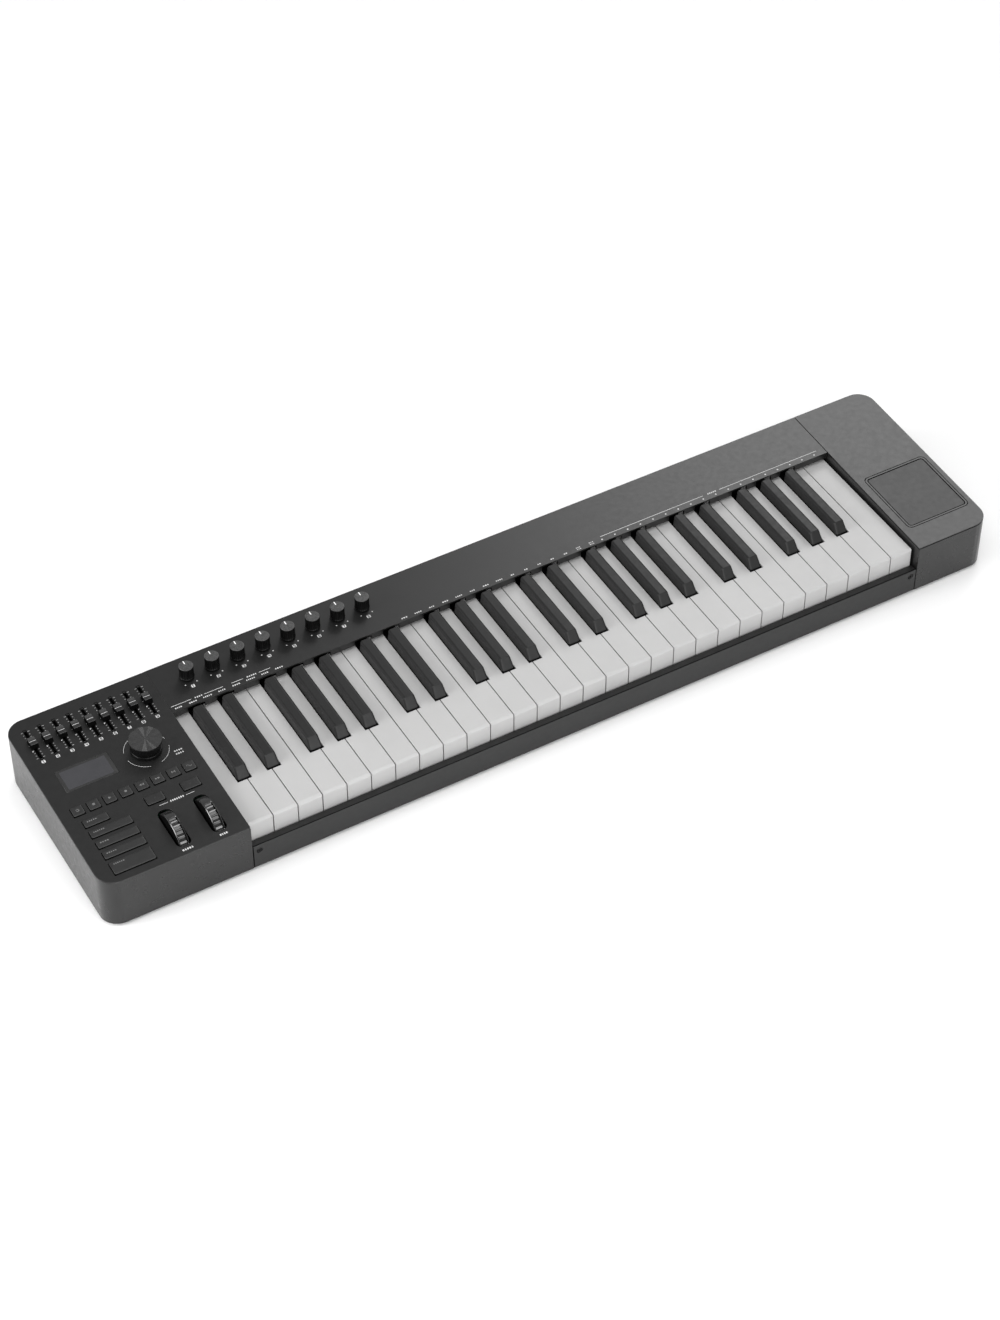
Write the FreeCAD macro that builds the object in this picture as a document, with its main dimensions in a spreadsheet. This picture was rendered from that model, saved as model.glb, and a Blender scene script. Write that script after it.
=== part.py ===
"""A 49-key MIDI controller keyboard, as a parametric document of separate pieces.

Frame: X runs along the keys towards the treble end, Y from the player to the rear, Z up.
The origin is on the table, under the middle of the case. Sizes are in millimetres.
"""
import FreeCAD, Part
import os

import Sketcher

doc = FreeCAD.newDocument("keyboard")
sheet = doc.addObject("Spreadsheet::Sheet", "dims")

DIMENSIONS = [
    ("body_width", 901.4),
    ("body_depth", 206.6),
    ("front_height", 52.2),
    ("deck_slope", 0.0247),
    ("corner_radius", 17.0),
    ("wall", 2.5),
    ("floor_thickness", 2.5),
    ("panel_thickness", 2.0),
    ("panel_seam", 0.3),
    ("foot_height", 3.0),
    ("foot_radius", 9.0),
    ("foot_inset", 24.0),
    ("bed_offset", 135.9),
    ("bed_gap", 1.65),
    ("white_count", 29),
    ("white_pitch", 23.5),
    ("white_gap", 0.9),
    ("white_head", 48.2),
    ("white_skirt", 24.0),
    ("white_depth", 11.0),
    ("key_skin", 2.4),
    ("key_side", 1.6),
    ("key_length", 190.0),
    ("key_setback", 8.6),
    ("key_top_height", 45.6),
    ("black_slot", 13.7),
    ("black_width", 12.7),
    ("black_top_width", 10.6),
    ("black_rise", 9.8),
    ("black_front", 48.8),
    ("black_facet", 7.8),
    ("black_back", 138.5),
    ("black_neck_drop", 1.0),
    ("tail_length", 13.0),
    ("tail_width", 8.4),
    ("pivot_reach", 184.0),
    ("pivot_drop", 6.0),
    ("pivot_radius", 1.5),
    ("pivot_fit", 0.05),
    ("deck_front", 149.8),
    ("deck_inset", 0.15),
    ("deck_sheet", 1.8),
    ("deck_left_gap", 0.1),
    ("deck_right_gap", 0.4),
    ("deck_skirt", 2.0),
    ("lip_bottom", 3.5),
    ("lip_thickness", 2.0),
    ("lip_notch", 16.5),
    ("rail_top", 26.2),
    ("rail_bottom", 0.5),
    ("rail_wall", 2.5),
    ("rail_ledge", 7.6),
    ("rail_flange", 14.0),
    ("rail_screw_inset", 6.5),
    ("rail_screw_height", 19.7),
    ("screw_head_radius", 2.5),
    ("screw_head", 1.4),
    ("screw_radius", 1.5),
    ("screw_length", 7.0),
    ("rail_screw_length", 5.5),
    ("boss_radius", 3.5),
    ("board_thickness", 1.6),
    ("board_drop", 13.0),
    ("fader_count", 9),
    ("fader_first", 15.3),
    ("fader_pitch", 13.45),
    ("fader_centre", 174.5),
    ("fader_travel", 30.0),
    ("stem_play", 0.6),
    ("slot_width", 2.4),
    ("cap_width", 7.4),
    ("cap_length", 11.0),
    ("cap_height", 5.0),
    ("cap_lift", 0.6),
    ("cap_taper", 0.8),
    ("stem_width", 1.2),
    ("stem_length", 4.0),
    ("stem_drop", 6.6),
    ("knob_count", 8),
    ("knob_first", 165.5),
    ("knob_pitch", 24.87),
    ("knob_centre", 182.6),
    ("knob_radius", 6.9),
    ("knob_top", 14.0),
    ("knob_lift", 0.9),
    ("shaft_radius", 3.0),
    ("shaft_fit", 0.05),
    ("shaft_depth", 6.0),
    ("encoder_across", 97.5),
    ("encoder_centre", 122.0),
    ("encoder_radius", 15.0),
    ("encoder_foot", 14.0),
    ("encoder_top", 14.2),
    ("wheel_radius", 25.0),
    ("wheel_width", 9.6),
    ("wheel_drop", 15.0),
    ("wheel_centre", 31.2),
    ("pitch_across", 80.1),
    ("mod_across", 113.2),
    ("well_width", 13.4),
    ("well_length", 45.0),
    ("well_radius", 5.5),
    ("axle_radius", 2.0),
    ("transport_first", 17.1),
    ("transport_pitch", 14.86),
    ("transport_centre", 87.0),
    ("transport_size", 10.4),
    ("octave_left", 79.8),
    ("octave_right", 113.3),
    ("octave_centre", 68.2),
    ("octave_width", 16.4),
    ("octave_length", 10.2),
    ("function_left", 15.2),
    ("function_width", 38.0),
    ("function_short", 22.4),
    ("function_row", 13.1),
    ("function_last", 8.1),
    ("function_step", 5.6),
    ("function_length", 8.6),
    ("function_tall", 14.0),
    ("button_gap", 0.4),
    ("button_rise", 1.2),
    ("button_flange", 1.0),
    ("button_play", 0.5),
    ("window_left", 18.0),
    ("window_front", 110.4),
    ("window_width", 48.4),
    ("window_length", 26.0),
    ("window_glass", 1.2),
    ("pad_right", 4.8),
    ("pad_front", 26.0),
    ("pad_width", 68.6),
    ("pad_length", 76.4),
    ("pad_corner", 5.0),
    ("pad_border", 2.3),
    ("pad_groove", 0.5),
    ("pad_glass", 1.4),
    ("jack_radius", 3.2),
    ("jack_depth", 15.0),
    ("usb_width", 8.6),
    ("usb_height", 7.8),
    ("usb_depth", 9.0),
    ("din_radius", 8.0),
    ("shell_wall", 1.6),
    ("socket_height", 22.0),
    ("socket_inset", 0.4),
    ("socket_room", 16.0),
    ("power_radius", 4.2),
    ("power_bore", 2.8),
    ("power_depth", 9.0),
    ("din_depth", 8.0),
    ("jack_shell", 4.7),
    ("switch_size", 6.0),
    ("switch_height", 3.5),
    ("stem_size", 4.0),
    ("slide_width", 8.0),
    ("slide_length", 46.0),
    ("slide_drop", 7.2),
    ("encoder_unit", 12.0),
    ("knob_unit", 10.0),
    ("knob_board", 16.0),
    ("unit_gap", 0.3),
    ("tray_start", 12.0),
    ("tray_end", 189.0),
    ("tray_lift", 0.2),
    ("tray_sheet", 1.5),
    ("comb_width", 2.0),
    ("comb_length", 9.0),
    ("comb_rise", 3.5),
    ("guide_place", 72.0),
    ("guide_width", 4.0),
    ("guide_length", 9.0),
    ("guide_drop", 12.5),
    ("contact_place", 115.0),
    ("contact_depth", 30.0),
    ("contact_lift", 8.0),
    ("main_lift", 5.0),
    ("cheek_sheet", 1.6),
    ("cheek_depth", 10.0),
    ("bracket_depth", 30.0),
    ("bracket_sheet", 2.0),
]
for row, (alias, value) in enumerate(DIMENSIONS, 1):
    sheet.set(f"A{row}", alias)
    sheet.set(f"B{row}", str(value))
    sheet.setAlias(f"B{row}", alias)
doc.recompute()
SIZE = dict(DIMENSIONS)


def formula(text):
    """A formula on the sheet's names, as an expression of the document."""
    words = []
    for word in str(text).replace("(", " ( ").replace(")", " ) ").split():
        words.append(f"dims.{word}" if word in SIZE else word)
    return " ".join(words)


def bind(item, **sizes):
    """Binds each property, such as Length or Base_x, to a formula."""
    for name, text in sizes.items():
        path = f".Placement.Base.{name[-1]}" if name.startswith("Base_") else name
        item.setExpression(path, formula(text))
    return item


# Reference planes of the case, as formulas.
LEFT = "(0 - body_width / 2)"
RIGHT = "(body_width / 2)"
FRONT = "(0 - body_depth / 2)"
BACK = "(body_depth / 2)"
BOTTOM = "foot_height"
FLOOR = "(foot_height + floor_thickness)"
BED_LEFT = f"({LEFT} + bed_offset)"
BED_RIGHT = f"({BED_LEFT} + white_count * white_pitch + 2 * bed_gap)"
KEYS_LEFT = f"({BED_LEFT} + bed_gap)"
KEYS_FRONT = f"({FRONT} + key_setback)"
KEY_TOP = "(foot_height + key_top_height)"
PIVOT_Y = f"({KEYS_FRONT} + pivot_reach)"
PIVOT_Z = f"({KEY_TOP} - pivot_drop)"
HIGH = "(foot_height + front_height + 40)"
UNDER_PANEL = f"({FLOOR} + 30)"
SLOT_LENGTH = "(fader_travel + stem_length + 2 * stem_play)"


def deck(y):
    """Height of the sloping deck at a place across the depth."""
    return f"(foot_height + front_height + deck_slope * ({y} - {FRONT}))"


def slab(name, x, y, z_front, z_rear):
    """A block between two X and two Y planes whose bottom and top may slope along Y."""
    item = doc.addObject("Part::Wedge", name)
    return bind(item, Xmin=x[0], Xmax=x[1], X2min=x[0], X2max=x[1], Ymin=y[0], Ymax=y[1],
                Zmin=z_front[0], Zmax=z_front[1], Z2min=z_rear[0], Z2max=z_rear[1])


def box(name, x, y, z):
    """A block between pairs of planes."""
    return slab(name, x, y, z, z)


def taper(name, x, y, z, x_top, y_top):
    """A block that narrows from its bottom rectangle to its top rectangle."""
    item = doc.addObject("Part::Wedge", name)
    item.Placement = FreeCAD.Placement(FreeCAD.Vector(), UPRIGHT)
    return bind(item, Xmin=x[0], Xmax=x[1], X2min=x_top[0], X2max=x_top[1], Ymin=z[0], Ymax=z[1],
                Zmin=f"0 - {y[1]}", Zmax=f"0 - {y[0]}", Z2min=f"0 - {y_top[1]}", Z2max=f"0 - {y_top[0]}")


UPRIGHT = FreeCAD.Rotation(FreeCAD.Vector(1, 0, 0), 90)
AXES = {
    "X": FreeCAD.Rotation(FreeCAD.Vector(0, 1, 0), 90),
    "Y": FreeCAD.Rotation(FreeCAD.Vector(1, 0, 0), -90),
    "Z": FreeCAD.Rotation(),
}


def rod(name, centre, radius, length, axis="Z"):
    """A cylinder from its start point along an axis."""
    item = doc.addObject("Part::Cylinder", name)
    item.Placement = FreeCAD.Placement(FreeCAD.Vector(), AXES[axis])
    return bind(item, Radius=radius, Height=length, Base_x=centre[0], Base_y=centre[1], Base_z=centre[2])


def fuse(name, items):
    item = doc.addObject("Part::MultiFuse", name)
    item.Shapes = items
    return item


def cut(name, base, tools):
    """The base less every tool."""
    item = doc.addObject("Part::Cut", name)
    item.Base = base
    item.Tool = tools[0] if len(tools) == 1 else group(name + "_tools", tools)
    return item


def common(name, first, second):
    item = doc.addObject("Part::Common", name)
    item.Base = first
    item.Tool = second
    return item


def group(name, items):
    """Separate solids kept together as one sub-part."""
    item = doc.addObject("Part::Compound", name)
    item.Links = items
    return item


def plane(body, role):
    return next(f for f in body.Origin.OriginFeatures if f.Role == role)


def polygon_sketch(body, name, role, points):
    """A closed outline through points, each held from the origin by bound distances."""
    sketch = body.newObject("Sketcher::SketchObject", name)
    sketch.AttachmentSupport = [(plane(body, role), "")]
    sketch.MapMode = "FlatFace"
    values = [tuple(sheet_value(v) for v in point) for point in points]
    for start, end in zip(values, values[1:] + values[:1]):
        sketch.addGeometry(Part.LineSegment(FreeCAD.Vector(*start, 0), FreeCAD.Vector(*end, 0)))
    count = len(points)
    for index in range(count):
        sketch.addConstraint(Sketcher.Constraint("Coincident", index, 2, (index + 1) % count, 1))
    for index, (point, value) in enumerate(zip(points, values)):
        for kind, line, text, number in (("DistanceX", -2, point[0], value[0]),
                                         ("DistanceY", -1, point[1], value[1])):
            if abs(number) < 1e-9:
                sketch.addConstraint(Sketcher.Constraint("PointOnObject", index, 1, line))
                continue
            place = sketch.addConstraint(Sketcher.Constraint(kind, -1, 1, index, 1, number))
            sketch.setExpression(f"Constraints[{place}]", formula(text))
    return sketch


def sheet_value(text):
    """The number that a formula on the sheet gives now."""
    probe.setExpression("Height", formula(text) + " + 5000")
    probe.recompute()
    return probe.Height.Value - 5000


def prism(name, x, y, z, radius):
    """A block with rounded upright corners."""
    body = doc.addObject("PartDesign::Body", name)
    width, depth = f"({x[1]} - {x[0]})", f"({y[1]} - {y[0]})"
    outline = polygon_sketch(body, name + "_outline", "XY_Plane",
                             [("0", "0"), (width, "0"), (width, depth), ("0", depth)])
    pad = body.newObject("PartDesign::Pad", name + "_pad")
    pad.Profile = outline
    pad.setExpression("Length", formula(f"{z[1]} - {z[0]}"))
    doc.recompute()
    upright = [f"Edge{i}" for i, edge in enumerate(pad.Shape.Edges, 1)
               if abs(edge.tangentAt(edge.FirstParameter).z) > 0.999]
    rounding = body.newObject("PartDesign::Fillet", name + "_rounding")
    rounding.Base = (pad, upright)
    rounding.setExpression("Radius", formula(radius))
    body.Tip = rounding
    return bind(body, Base_x=x[0], Base_y=y[0], Base_z=z[0])


def turned(name, points, centre, axis="Z"):
    """A solid of revolution about its own axis, from an outline of (radius, height)."""
    body = doc.addObject("PartDesign::Body", name)
    outline = polygon_sketch(body, name + "_outline", "XZ_Plane", points)
    turn = body.newObject("PartDesign::Revolution", name + "_turn")
    turn.Profile = outline
    turn.ReferenceAxis = (outline, ["V_Axis"])
    turn.Angle = 360
    body.Tip = turn
    body.Placement = FreeCAD.Placement(FreeCAD.Vector(), AXES[axis])
    return bind(body, Base_x=centre[0], Base_y=centre[1], Base_z=centre[2])


def across(value):
    """X of a place given from the case's left side."""
    return f"({LEFT} + {value})"


def inward(value):
    """Y of a place given from the case's front."""
    return f"({FRONT} + {value})"


def around(centre, size):
    """The two planes of a width centred on a place."""
    return f"({centre} - {size} / 2)", f"({centre} + {size} / 2)"


probe = doc.addObject("Part::Box", "probe")
parts = []


def keep(item, label):
    """Marks an object as a sub-part under the name of its file."""
    item.Label = label
    parts.append(item)
    return item


# ---------------------------------------------------------------- case
DECK_UNDER = "(0 - panel_thickness - panel_seam)"
# Screw posts, screws, feet and sockets: X and Y from the left front corner of the case.
BOSSES_LEFT = [("6.5", "138.6"), ("6.5", "38.6"), ("128.6", "138.6"), ("128.6", "68.6")]
BOSSES_RIGHT = [("828.5", "118.6"), ("893.5", "118.6"), ("828.5", "17"), ("889.5", "18.6")]
DECK_SCREWS = [f"{KEYS_LEFT} + white_pitch * {cell}" for cell in (3, 9, 20, 26)]
SCREW_Z = f"({deck(BACK)} - 7)"
FOOT_PLACES = [(x, y) for x in (f"{LEFT} + foot_inset", "0", f"{RIGHT} - foot_inset")
               for y in (f"{FRONT} + foot_inset", f"{BACK} - foot_inset")]
SOCKETS_X = {"usb": "28", "midi": "52", "dc": "74", "sustain": "94", "expression": "114"}
SOCKET_Z = "(foot_height + socket_height)"
ROUND_SOCKETS = [("midi", "din_radius"), ("dc", "power_radius"), ("sustain", "jack_shell"),
                 ("expression", "jack_shell")]


def make_case():
    top = [f"({deck(y)} + {DECK_UNDER})" for y in (FRONT, BACK)]
    block = slab("case_block", (LEFT, RIGHT), (FRONT, BACK), (BOTTOM, top[0]), (BOTTOM, top[1]))
    outline = prism("case_outline", (LEFT, RIGHT), (FRONT, BACK), (BOTTOM, HIGH), "corner_radius")
    hollow = prism("case_hollow", (f"({LEFT} + wall)", f"({RIGHT} - wall)"),
                   (f"({FRONT} + wall)", f"({BACK} - wall)"), (FLOOR, HIGH), "(corner_radius - wall)")
    shell = cut("case_shell", common("case_rounded", block, outline), [hollow])
    wall_y = (f"({FRONT} + wall / 2)", f"({BACK} - wall / 2)")
    wall_top = [f"({deck(y)} + {DECK_UNDER})" for y in wall_y]
    wall_foot = "(foot_height + 1)"
    wall_x = [(f"({BED_LEFT} - wall)", BED_LEFT), (BED_RIGHT, f"({BED_RIGHT} + wall)")]
    walls = [slab(f"case_bed_wall_{i}", x, wall_y, (wall_foot, wall_top[0]), (wall_foot, wall_top[1]))
             for i, x in enumerate(wall_x)]
    anchor_y = (f"({FRONT} + rail_wall + 0.2)", f"({KEYS_FRONT} - 0.9)")
    anchor_z = (f"{BOTTOM} + 14", f"{BOTTOM} + rail_top - 2.4")
    anchors = [box("rail_anchor_left", (f"({BED_LEFT} - 1)", f"({BED_LEFT} + 12)"), anchor_y, anchor_z),
               box("rail_anchor_right", (f"({BED_RIGHT} - 12)", f"({BED_RIGHT} + 1)"), anchor_y, anchor_z)]
    mouth = box("case_mouth", (BED_LEFT, BED_RIGHT), (f"({FRONT} - 1)", f"({FRONT} + rail_wall + 0.1)"),
                (f"({BOTTOM} - 1)", HIGH))
    holes = [rod(f"case_screw_hole_{i}", (across(x), inward(y), f"{BOTTOM} - 1"), "screw_radius + 0.2", "5")
             for i, (x, y) in enumerate(BOSSES_LEFT + BOSSES_RIGHT)]
    holes += [rod(f"case_deck_hole_{i}", (x, f"{BACK} - 5", SCREW_Z), "screw_radius + 0.2", "6", "Y")
              for i, x in enumerate(DECK_SCREWS)]
    sink = "screw_head_radius + 0.3"
    holes += [rod(f"case_deck_sink_{i}", (x, f"{BACK} - screw_head", SCREW_Z), sink, "2", "Y")
              for i, x in enumerate(DECK_SCREWS)]
    holes += [rod(f"anchor_hole_{i}", (x, f"{FRONT} + 1", f"{BOTTOM} + rail_screw_height"),
                  "screw_radius + 0.05", "rail_screw_length + 2", "Y")
              for i, x in enumerate(rail_screw_places())]
    holes += [rod(f"case_{name}_hole", (across(SOCKETS_X[name]), f"{BACK} - 5", SOCKET_Z),
                  f"({radius} + 0.2)", "6", "Y") for name, radius in ROUND_SOCKETS]
    usb_x = around(across(SOCKETS_X["usb"]), "(usb_width + 2 * shell_wall + 0.4)")
    usb_z = around(SOCKET_Z, "(usb_height + 2 * shell_wall + 0.4)")
    holes.append(box("case_usb_hole", usb_x, (f"({BACK} - 5)", f"({BACK} + 1)"), usb_z))
    keep(cut("case", fuse("case_walls", [shell] + walls + anchors), [mouth] + holes), "lower_case")


def rail_screw_places():
    return f"({BED_LEFT} + rail_screw_inset)", f"({BED_RIGHT} - rail_screw_inset)"


def make_rail():
    """The front rail: a pressed channel with a ledge above and a flange on the floor."""
    body = doc.addObject("PartDesign::Body", "rail")
    inner = "(floor_thickness + 0.1 - rail_bottom)"
    height = "(rail_top - rail_bottom)"
    outline = polygon_sketch(body, "rail_outline", "YZ_Plane", [
        ("0", "0"), ("rail_wall", "0"), ("rail_wall", inner), ("rail_flange", inner),
        ("rail_flange", f"({inner} + 1.5)"), ("rail_wall", f"({inner} + 1.5)"),
        ("rail_wall", f"({height} - 2)"), ("rail_ledge", f"({height} - 2)"),
        ("rail_ledge", height), ("0", height)])
    pad = body.newObject("PartDesign::Pad", "rail_pad")
    pad.Profile = outline
    pad.setExpression("Length", formula(f"{BED_RIGHT} - {BED_LEFT} - 0.3"))
    body.Tip = pad
    bind(body, Base_x=f"{BED_LEFT} + 0.15", Base_y=FRONT, Base_z=f"{BOTTOM} + rail_bottom")
    places = rail_screw_places()
    height = f"{BOTTOM} + rail_screw_height"
    tools = [rod(f"rail_sink_{i}", (x, f"{FRONT} - 1", height), "screw_head_radius + 0.3", "2.7", "Y")
             for i, x in enumerate(places)]
    tools += [rod(f"rail_hole_{i}", (x, f"{FRONT} - 1", height), "screw_radius + 0.1", "rail_wall + 2", "Y")
              for i, x in enumerate(places)]
    keep(cut("rail_cut", body, tools), "front_rail")


def screw(name, centre, axis, length):
    """A pan-head screw whose shank runs from its head along the axis."""
    head = rod(name + "_head", centre, "screw_head_radius", "screw_head", axis)
    shank = rod(name + "_shank", centre, "screw_radius", f"screw_head + {length}", axis)
    return fuse(name, [head, shank])


def make_screws():
    items = [screw(f"panel_screw_{i}", (across(x), inward(y), f"{BOTTOM} - screw_head"), "Z", "screw_length")
             for i, (x, y) in enumerate(BOSSES_LEFT + BOSSES_RIGHT)]
    items += [screw(f"rail_screw_{i}", (x, f"{FRONT} + 0.2", f"{BOTTOM} + rail_screw_height"), "Y",
                    "rail_screw_length") for i, x in enumerate(rail_screw_places())]
    for i, x in enumerate(DECK_SCREWS):
        shank = rod(f"deck_screw_{i}_shank", (x, f"{BACK} - wall - 3.6", SCREW_Z), "screw_radius", "5", "Y")
        head = rod(f"deck_screw_{i}_head", (x, f"{BACK} - screw_head + 0.1", SCREW_Z), "screw_head_radius",
                   "screw_head - 0.3", "Y")
        items.append(fuse(f"deck_screw_{i}", [shank, head]))
    keep(group("screw_set", items), "screws")


def make_feet():
    outline = [("0", "0"), ("foot_radius - 0.8", "0"), ("foot_radius", "0.8"),
               ("foot_radius", "foot_height"), ("0", "foot_height")]
    items = [turned(f"foot_{i}", outline, (x, y, "0")) for i, (x, y) in enumerate(FOOT_PLACES)]
    keep(group("foot_set", items), "feet")


# ---------------------------------------------------------------- top panels and rear deck
def panel(name, x, places, openings):
    """A sloping top panel with screw bosses that stand on the case floor."""
    y = (FRONT, BACK)
    sheet_top = slab(name + "_sheet", x, y, (f"({deck(FRONT)} - panel_thickness)", deck(FRONT)),
                     (f"({deck(BACK)} - panel_thickness)", deck(BACK)))
    outline = prism(name + "_outline", (LEFT, RIGHT), y, (BOTTOM, HIGH), "corner_radius")
    rounded = common(name + "_rounded", sheet_top, outline)
    bosses = []
    for i, (bx, by) in enumerate(places):
        length = f"{deck(inward(by))} - {FLOOR} - panel_thickness / 2"
        outer = rod(f"{name}_boss_{i}", (across(bx), inward(by), FLOOR), "boss_radius", length)
        bore = rod(f"{name}_bore_{i}", (across(bx), inward(by), f"{FLOOR} - 1"), "screw_radius + 0.05", "10")
        bosses.append(cut(f"{name}_post_{i}", outer, [bore]))
    return cut(name, fuse(name + "_body", [rounded] + bosses), openings)


def button_opening(name, x, y):
    gap = "button_gap"
    return box(name, (f"({x[0]} - {gap})", f"({x[1]} + {gap})"), (f"({y[0]} - {gap})", f"({y[1]} + {gap})"),
               (f"({deck(y[0])} - 6)", HIGH))


def button_places():
    """Name, X planes and Y planes of every push button."""
    places = []
    for i in range(8):
        centre = across(f"transport_first + {i} * transport_pitch")
        places.append((f"transport_button_{i + 1}", around(centre, "transport_size"),
                       around(inward("transport_centre"), "transport_size")))
    for label, centre in (("octave_down_button", "octave_left"), ("octave_up_button", "octave_right")):
        places.append((label, around(across(centre), "octave_width"),
                       around(inward("octave_centre"), "octave_length")))
    for i in range(5):
        front = "function_last" if i == 4 else f"(function_last + function_step + {4 - i} * function_row)"
        width = "function_short" if i == 0 else "function_width"
        length = "function_tall" if i == 4 else "function_length"
        x = (across("function_left"), across(f"function_left + {width}"))
        places.append((f"function_button_{i + 1}", x, (inward(front), inward(f"({front} + {length})"))))
    return places


def fader_x(index):
    return across(f"fader_first + {index} * fader_pitch")


def knob_x(index):
    return across(f"knob_first + {index} * knob_pitch")


def make_left_panel():
    openings = []
    for i in range(SIZE["fader_count"]):
        openings.append(box(f"fader_slot_{i}", around(fader_x(i), "slot_width"),
                            around(inward("fader_centre"), SLOT_LENGTH), (UNDER_PANEL, HIGH)))
    well_y = around(inward("wheel_centre"), "well_length")
    for name, x in (("pitch_well", "pitch_across"), ("mod_well", "mod_across")):
        well_x = around(across(x), "well_width")
        openings.append(prism(name, well_x, well_y, (UNDER_PANEL, HIGH), "well_radius"))
    openings.append(rod("encoder_hole", (across("encoder_across"), inward("encoder_centre"), UNDER_PANEL),
                        "shaft_radius + 0.6", "60"))
    openings += [button_opening(name + "_opening", x, y) for name, x, y in button_places()]
    window_x = (across("window_left - 0.15"), across("window_left + window_width + 0.15"))
    window_y = (inward("window_front - 0.15"), inward("window_front + window_length + 0.15"))
    openings.append(slab("window_recess", window_x, window_y,
                         (f"({deck(window_y[0])} - window_glass)", HIGH),
                         (f"({deck(window_y[1])} - window_glass)", HIGH)))
    openings.append(box("window_light", (across("window_left + 3"), across("window_left + window_width - 3")),
                        (inward("window_front + 2.5"), inward("window_front + window_length - 2.5")),
                        (UNDER_PANEL, HIGH)))
    keep(panel("left_panel", (LEFT, f"({BED_LEFT} - 0.1)"), BOSSES_LEFT, openings), "left_top_panel")


def pad_planes(inset):
    """X and Y planes of the touch pad's outline, moved inward by an inset."""
    x = (f"({RIGHT} - pad_right - pad_width + {inset})", f"({RIGHT} - pad_right - {inset})")
    return x, (inward(f"(pad_front + {inset})"), inward(f"(pad_front + pad_length - {inset})"))


def make_right_panel():
    recess = sloping_plate("pad_recess", "0", "pad_glass + 0.1", "0 - 1")
    x, y = pad_planes("4")
    window = prism("pad_window", x, y, (UNDER_PANEL, HIGH), "pad_corner - 3")
    made = panel("right_panel", (f"({BED_RIGHT} + 0.1)", RIGHT), BOSSES_RIGHT, [recess, window])
    keep(made, "right_top_panel")


def sloping_plate(name, inset, low, high):
    """A rounded plate in the pad's outline, between two depths below the deck."""
    x, y = pad_planes(inset)
    outline = prism(name + "_outline", x, y, (UNDER_PANEL, HIGH), f"(pad_corner - {inset} * 0.8)")
    heights = [(f"({deck(place)} - ({low}))", f"({deck(place)} - ({high}))") for place in y]
    return common(name, outline, slab(name + "_layer", x, y, *heights))


def make_touch_pad():
    """The pad plate: an outer border, a groove and the sensitive surface."""
    plate = sloping_plate("pad_plate", "0.2", "pad_glass", "0")
    groove = sloping_plate("pad_groove_outer", "pad_border", "0.6", "0 - 1")
    surface = sloping_plate("pad_surface", "(pad_border + pad_groove)", "pad_glass", "0.25")
    keep(fuse("pad", [cut("pad_border_ring", plate, [groove]), surface]), "touch_pad")


def make_window():
    x = (across("window_left"), across("window_left + window_width"))
    y = (inward("window_front"), inward("window_front + window_length"))
    keep(slab("window", x, y, (f"({deck(y[0])} - window_glass)", deck(y[0])),
              (f"({deck(y[1])} - window_glass)", deck(y[1]))), "display_window")


def make_rear_deck():
    """The cover behind the keys, with a toothed lip in front and a skirt inside the rear wall."""
    x = (f"({BED_LEFT} + deck_left_gap)", f"({BED_RIGHT} - deck_right_gap)")
    y = (inward("deck_front"), BACK)
    top = [f"({deck(place)} - deck_inset)" for place in y]
    cover = slab("deck_cover", x, y, *[(f"({height} - deck_sheet)", height) for height in top])
    lip_z = (f"({KEY_TOP} + lip_bottom)", f"({top[0]} - 0.5)")
    lip = box("deck_lip", x, (y[0], f"({y[0]} + lip_thickness)"), lip_z)
    skirt = box("deck_skirt_plate", x, (f"({BACK} - wall - deck_skirt - 0.1)", f"({BACK} - wall - 0.1)"),
                (f"({top[1]} - 14)", f"({top[1]} - 1)"))
    tools = [box(f"lip_notch_{i}", around(f"{KEYS_LEFT} + {place}", "lip_notch"),
                 (f"({y[0]} - 1)", f"({y[0]} + lip_thickness + 0.01)"),
                 (f"{KEY_TOP} + lip_bottom - 1", f"({top[0]} - deck_sheet)"))
             for i, place in enumerate(black_centres())]
    tools += [rod(f"deck_shaft_hole_{i}", (knob_x(i), inward("knob_centre"), f"{KEY_TOP} + 2"),
                  "shaft_radius + 0.6", "20") for i in range(SIZE["knob_count"])]
    tools += [rod(f"skirt_hole_{i}", (place, f"{BACK} - wall - 3", SCREW_Z), "screw_radius + 0.05", "4", "Y")
              for i, place in enumerate(DECK_SCREWS)]
    keep(cut("deck", fuse("deck_body", [cover, lip, skirt]), tools), "rear_deck")


# ---------------------------------------------------------------- keys
WHITE_LETTERS = ["c", "d", "e", "f", "g", "a", "b"]
BLACK_LETTERS = {"c_sharp": 1, "d_sharp": 2, "f_sharp": 4, "g_sharp": 5, "a_sharp": 6}
OCTAVES = 4
LOWER_GROUP, UPPER_GROUP = (3, 5), (4, 7)
NOTCHED_LEFT, NOTCHED_RIGHT = (1, 2, 4, 5, 6), (0, 1, 3, 4, 5)


def black_centre(boundary):
    """Centre of the black key at a boundary between two white keys of an octave, from the octave's start."""
    if boundary < 3:
        whites, cells = LOWER_GROUP
        return f"white_pitch * {whites} * {2 * boundary - 0.5} / {cells}"
    whites, cells = UPPER_GROUP
    return f"(white_pitch * 3 + white_pitch * {whites} * {2 * (boundary - 3) - 0.5} / {cells})"


def black_centres():
    return [f"({octave * 7} * white_pitch + {black_centre(boundary)})"
            for octave in range(OCTAVES) for boundary in BLACK_LETTERS.values()]


def key_tail(name, x, z):
    """The solid end of a key, bored for the pivot rod."""
    rear = f"({KEYS_FRONT} + key_length)"
    return box(name, x, (f"({rear} - tail_length)", rear), z)


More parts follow.
